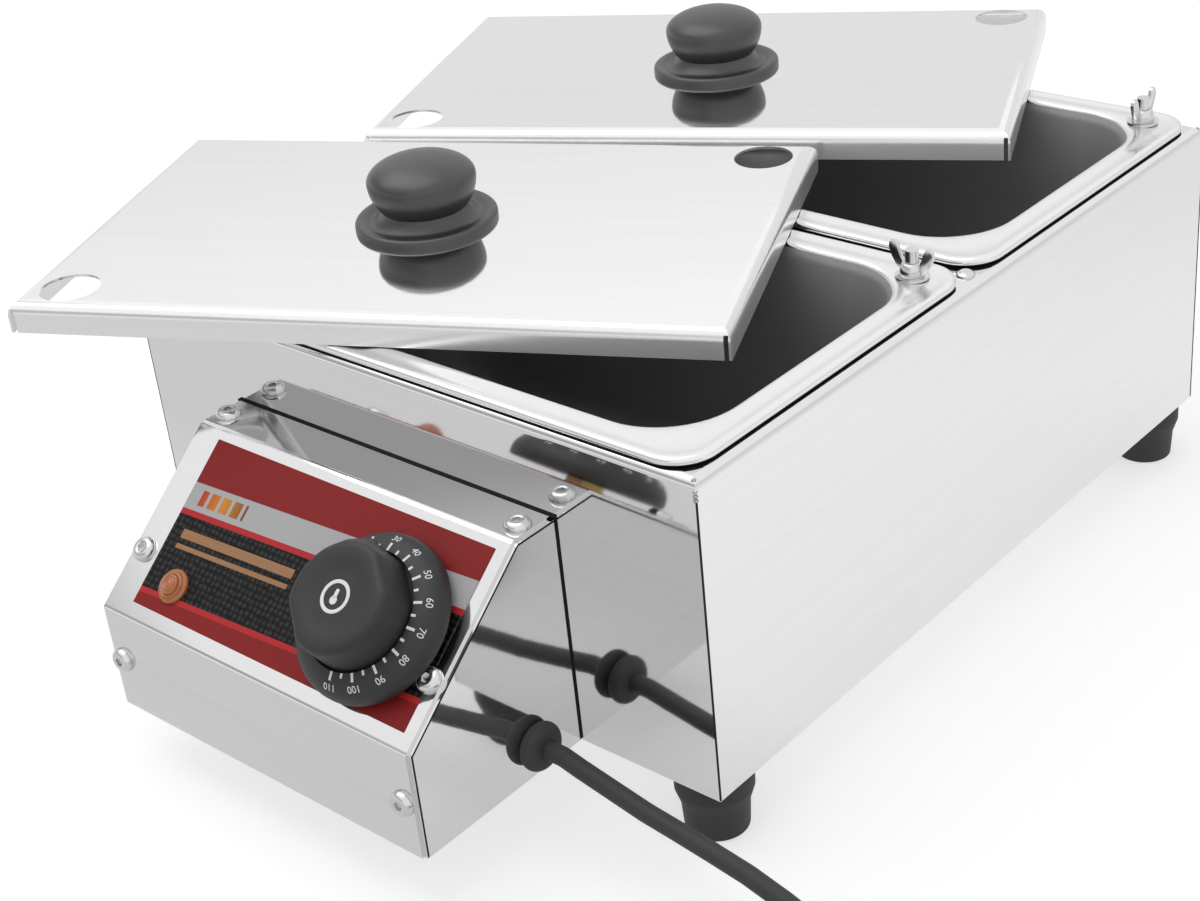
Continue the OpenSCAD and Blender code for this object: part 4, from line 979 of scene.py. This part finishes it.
class MELTER_OT_dial(bpy.types.Operator):
    """Make the dial with its scale, figures, grip and index"""
    bl_idname = "melter.dial"
    bl_label = "Dial"
    axis = on_panel(DIAL_U, DIAL_V)
    foot_r, edge_z, dome_h, edge_r = 20.5, 5.4, 8.0, 29.75
    grip_z, grip_h, beak_l, flat_r = 13.4, 13.6, 5.0, 18.8
    first, step, count = 92.0, -22.2, 9
    tick_r, index_r, figure_r = 21.5, 24.2, 26.4
    index_angle = 113.0
    least, between = 30, 10

    def execute(self, context):
        sizes = context.scene.melter_sizes
        self.body()
        self.scale(sizes)
        self.figures(sizes)
        return {"FINISHED"}

    def dome(self, radius):
        """Height and slope of the skirt's rounded top at a radius."""
        share = min(max((radius - self.foot_r) / (self.edge_r - self.foot_r), 0), 1)
        rise = math.sqrt(1 - share * share)
        slope = math.atan2(self.dome_h * share, (self.edge_r - self.foot_r) * max(rise, 0.05))
        return self.edge_z + self.dome_h * rise, slope

    def outline(self, angle, z):
        """Reach of the grip at an angle in degrees and a height: round, with a beak and two flats."""
        off = abs((angle - self.index_angle + 180) % 360 - 180)
        share = (z - self.grip_z) / self.grip_h
        reach = self.foot_r - share
        opening = math.degrees(math.acos(reach / (reach + self.beak_l * (1 - share))))
        if off < opening:
            reach /= math.cos(math.radians(opening - off))
        for flat in (45, 225):
            lean = math.cos(math.radians(angle - flat))
            if lean > 0.2:
                reach = min(reach, (self.flat_r - 0.8 * share) / lean)
        return reach

    def body(self):
        made = Shape()
        profile = [(0, 3.2), (28.6, 3.2), (29.3, 3.35), (29.7, 3.8), (self.edge_r, 4.6)]
        profile += arc((self.foot_r, self.edge_z), (self.edge_r - self.foot_r, self.dome_h), 0, 84, 14)
        profile += [(21.1, 12.2), (20.6, 11.6), (18.0, 11.4), (0, 11.4)]
        made.lathe(profile, self.axis, 96)
        steps = 144
        angles = [360 * i / steps for i in range(steps)]
        rows = [(0, 9.0), (0, 13.0), (0, 16.0), (0, 20.0)]
        rows += [(2.4 - across, z) for across, z in arc((0, 24.6), (2.4, 2.4), 0, 90, 6)]
        rings = [[turn(angle, "Z") @ Vector((self.outline(angle, max(z, self.grip_z)) - inset, 0, z)) * MM
                  for angle in angles] for inset, z in rows]
        rings += [circle(r, z, steps) for r, z in ((13.0, 26.95), (11.5, 26.6), (8.0, 26.45), (0, 26.45))]
        made.skin(rings, self.axis)
        made.settle("dial_moulding", ["dial_plastic"], "temperature_dial", "black_plastic",
                    ["control_knob"], 32)
        badge = Shape()
        ring = [(4.55, 26.4), (5.85, 26.4), (5.85, 26.62), (5.72, 26.7), (4.68, 26.7), (4.55, 26.62)]
        badge.lathe(ring, self.axis, 48, True)
        badge.lathe([(0, 26.4), (1.5, 26.4), (1.5, 26.62), (1.4, 26.7), (0, 26.7)],
                    self.axis @ shift(0, -1.3 * MM, 0), 32)
        stem = [(-0.7, -0.6), (0.7, -0.6)] + arc((0, 2.0), (0.7, 0.7), 0, 180, 8)
        badge.plate([(x * MM, y * MM) for x, y in stem], 26.4 * MM, 26.7 * MM, self.axis)
        badge.settle("dial_ring", ["print_white"], "temperature_dial", "black_plastic")

    def on_dome(self, angle, radius, lift=0.0):
        """Place on the skirt's top, X outwards along the slope."""
        height, slope = self.dome(radius)
        return (self.axis @ turn(angle, "Z") @ shift(radius * MM, 0, height * MM)
                @ Matrix.Rotation(slope, 4, "Y") @ shift(0, 0, lift))

    def scale(self, sizes):
        for name, length, wide, angles in (
                ("scale_lines", sizes.tick_length, 0.95 * MM,
                 [self.first + self.step * i for i in range(self.count)]),
                ("scale_half_lines", sizes.tick_length * 0.55, 0.9 * MM,
                 [self.first + self.step * (i + 0.5) for i in range(-1, self.count - 1)]),
                ("index_line", 4.2 * MM, 0.9 * MM, [self.index_angle])):
            tick = Shape()
            tick.plate([(x * length / 2, y * wide / 2) for x, y in CORNERS], -0.35 * MM, 0.1 * MM)
            radius = self.index_r if name == "index_line" else self.tick_r + length / MM / 2
            scatter(name, tick, [self.on_dome(a, radius) for a in angles], "print_white", "temperature_dial")

    def figures(self, sizes):
        made = Shape()
        for i in range(self.count):
            word = bpy.data.curves.new("figure", "FONT")
            word.body = str(self.least + self.between * i)
            word.size = sizes.figure_height * 1.35
            word.align_x = word.align_y = "CENTER"
            word.extrude = 0.12 * MM
            word.resolution_u = 3
            data = final_mesh(show("figure", word))
            angle = self.first + self.step * i
            data.transform(self.on_dome(angle, self.figure_r, -0.1 * MM) @ turn(-90, "Z"))
            made.mesh.from_mesh(data)
            bpy.data.meshes.remove(data)
        made.settle("scale_figures", ["print_white"], "temperature_dial", "black_plastic")


class MELTER_OT_feet(bpy.types.Operator):
    """Make the four rubber feet"""
    bl_idname = "melter.feet"
    bl_label = "Feet"

    def execute(self, context):
        foot = Shape()
        profile = [(5.5, 0.0), (10.7, 0.0)] + arc((10.7, 0.8), (0.8, 0.8), -80, 0, 4)
        profile += [(12.1, 11.0), (12.35, 12.0), (12.9, 13.6), (13.5, 15.6)]
        profile += arc((13.0, 17.2), (1.0, 1.0), -30, 0, 3)
        profile += [(14.0, 23.2), (13.7, 23.9), (13.0, 24.0), (2.7, 24.0), (2.7, 8.0), (5.5, 8.0)]
        foot.lathe(profile, steps=56, loop=True)
        nodes = ["front_left_foot", "front_right_foot", "rear_left_foot", "rear_right_foot"]
        places = [middle(node, 0) for node in nodes]
        scatter("rubber_feet", foot, places, "foot_rubber", "tank", nodes, 40)
        return {"FINISHED"}


class MELTER_PT_panel(bpy.types.Panel):
    """Settings and steps of the melting tank"""
    bl_idname = "MELTER_PT_panel"
    bl_label = "Melting tank"
    bl_space_type = "VIEW_3D"
    bl_region_type = "UI"
    bl_category = "Melting tank"

    def draw(self, context):
        scene = context.scene
        for group in (scene.melter_look, scene.melter_sizes, scene.melter_stage):
            for key in group.__annotations__:
                self.layout.prop(group, key)
        for step in STEPS:
            self.layout.operator(step.bl_idname)


STEPS = (MELTER_OT_stage, MELTER_OT_cord, MELTER_OT_casing, MELTER_OT_pans, MELTER_OT_lids,
         MELTER_OT_wing_nuts, MELTER_OT_control_box, MELTER_OT_dial, MELTER_OT_feet)
GROUPS = {"melter_look": MelterLook, "melter_sizes": MelterSizes, "melter_stage": MelterStage}


def register():
    for group in GROUPS.values():
        bpy.utils.register_class(group)
    for name, group in GROUPS.items():
        setattr(bpy.types.Scene, name, bpy.props.PointerProperty(type=group))
    for step in (*STEPS, MELTER_PT_panel):
        bpy.utils.register_class(step)


def unregister():
    for step in (MELTER_PT_panel, *reversed(STEPS)):
        bpy.utils.unregister_class(step)
    for name in GROUPS:
        delattr(bpy.types.Scene, name)
    for group in GROUPS.values():
        bpy.utils.unregister_class(group)


def main():
    register()
    for step in STEPS:
        family, name = step.bl_idname.split(".")
        getattr(getattr(bpy.ops, family), name)()


if __name__ == "__main__":
    main()
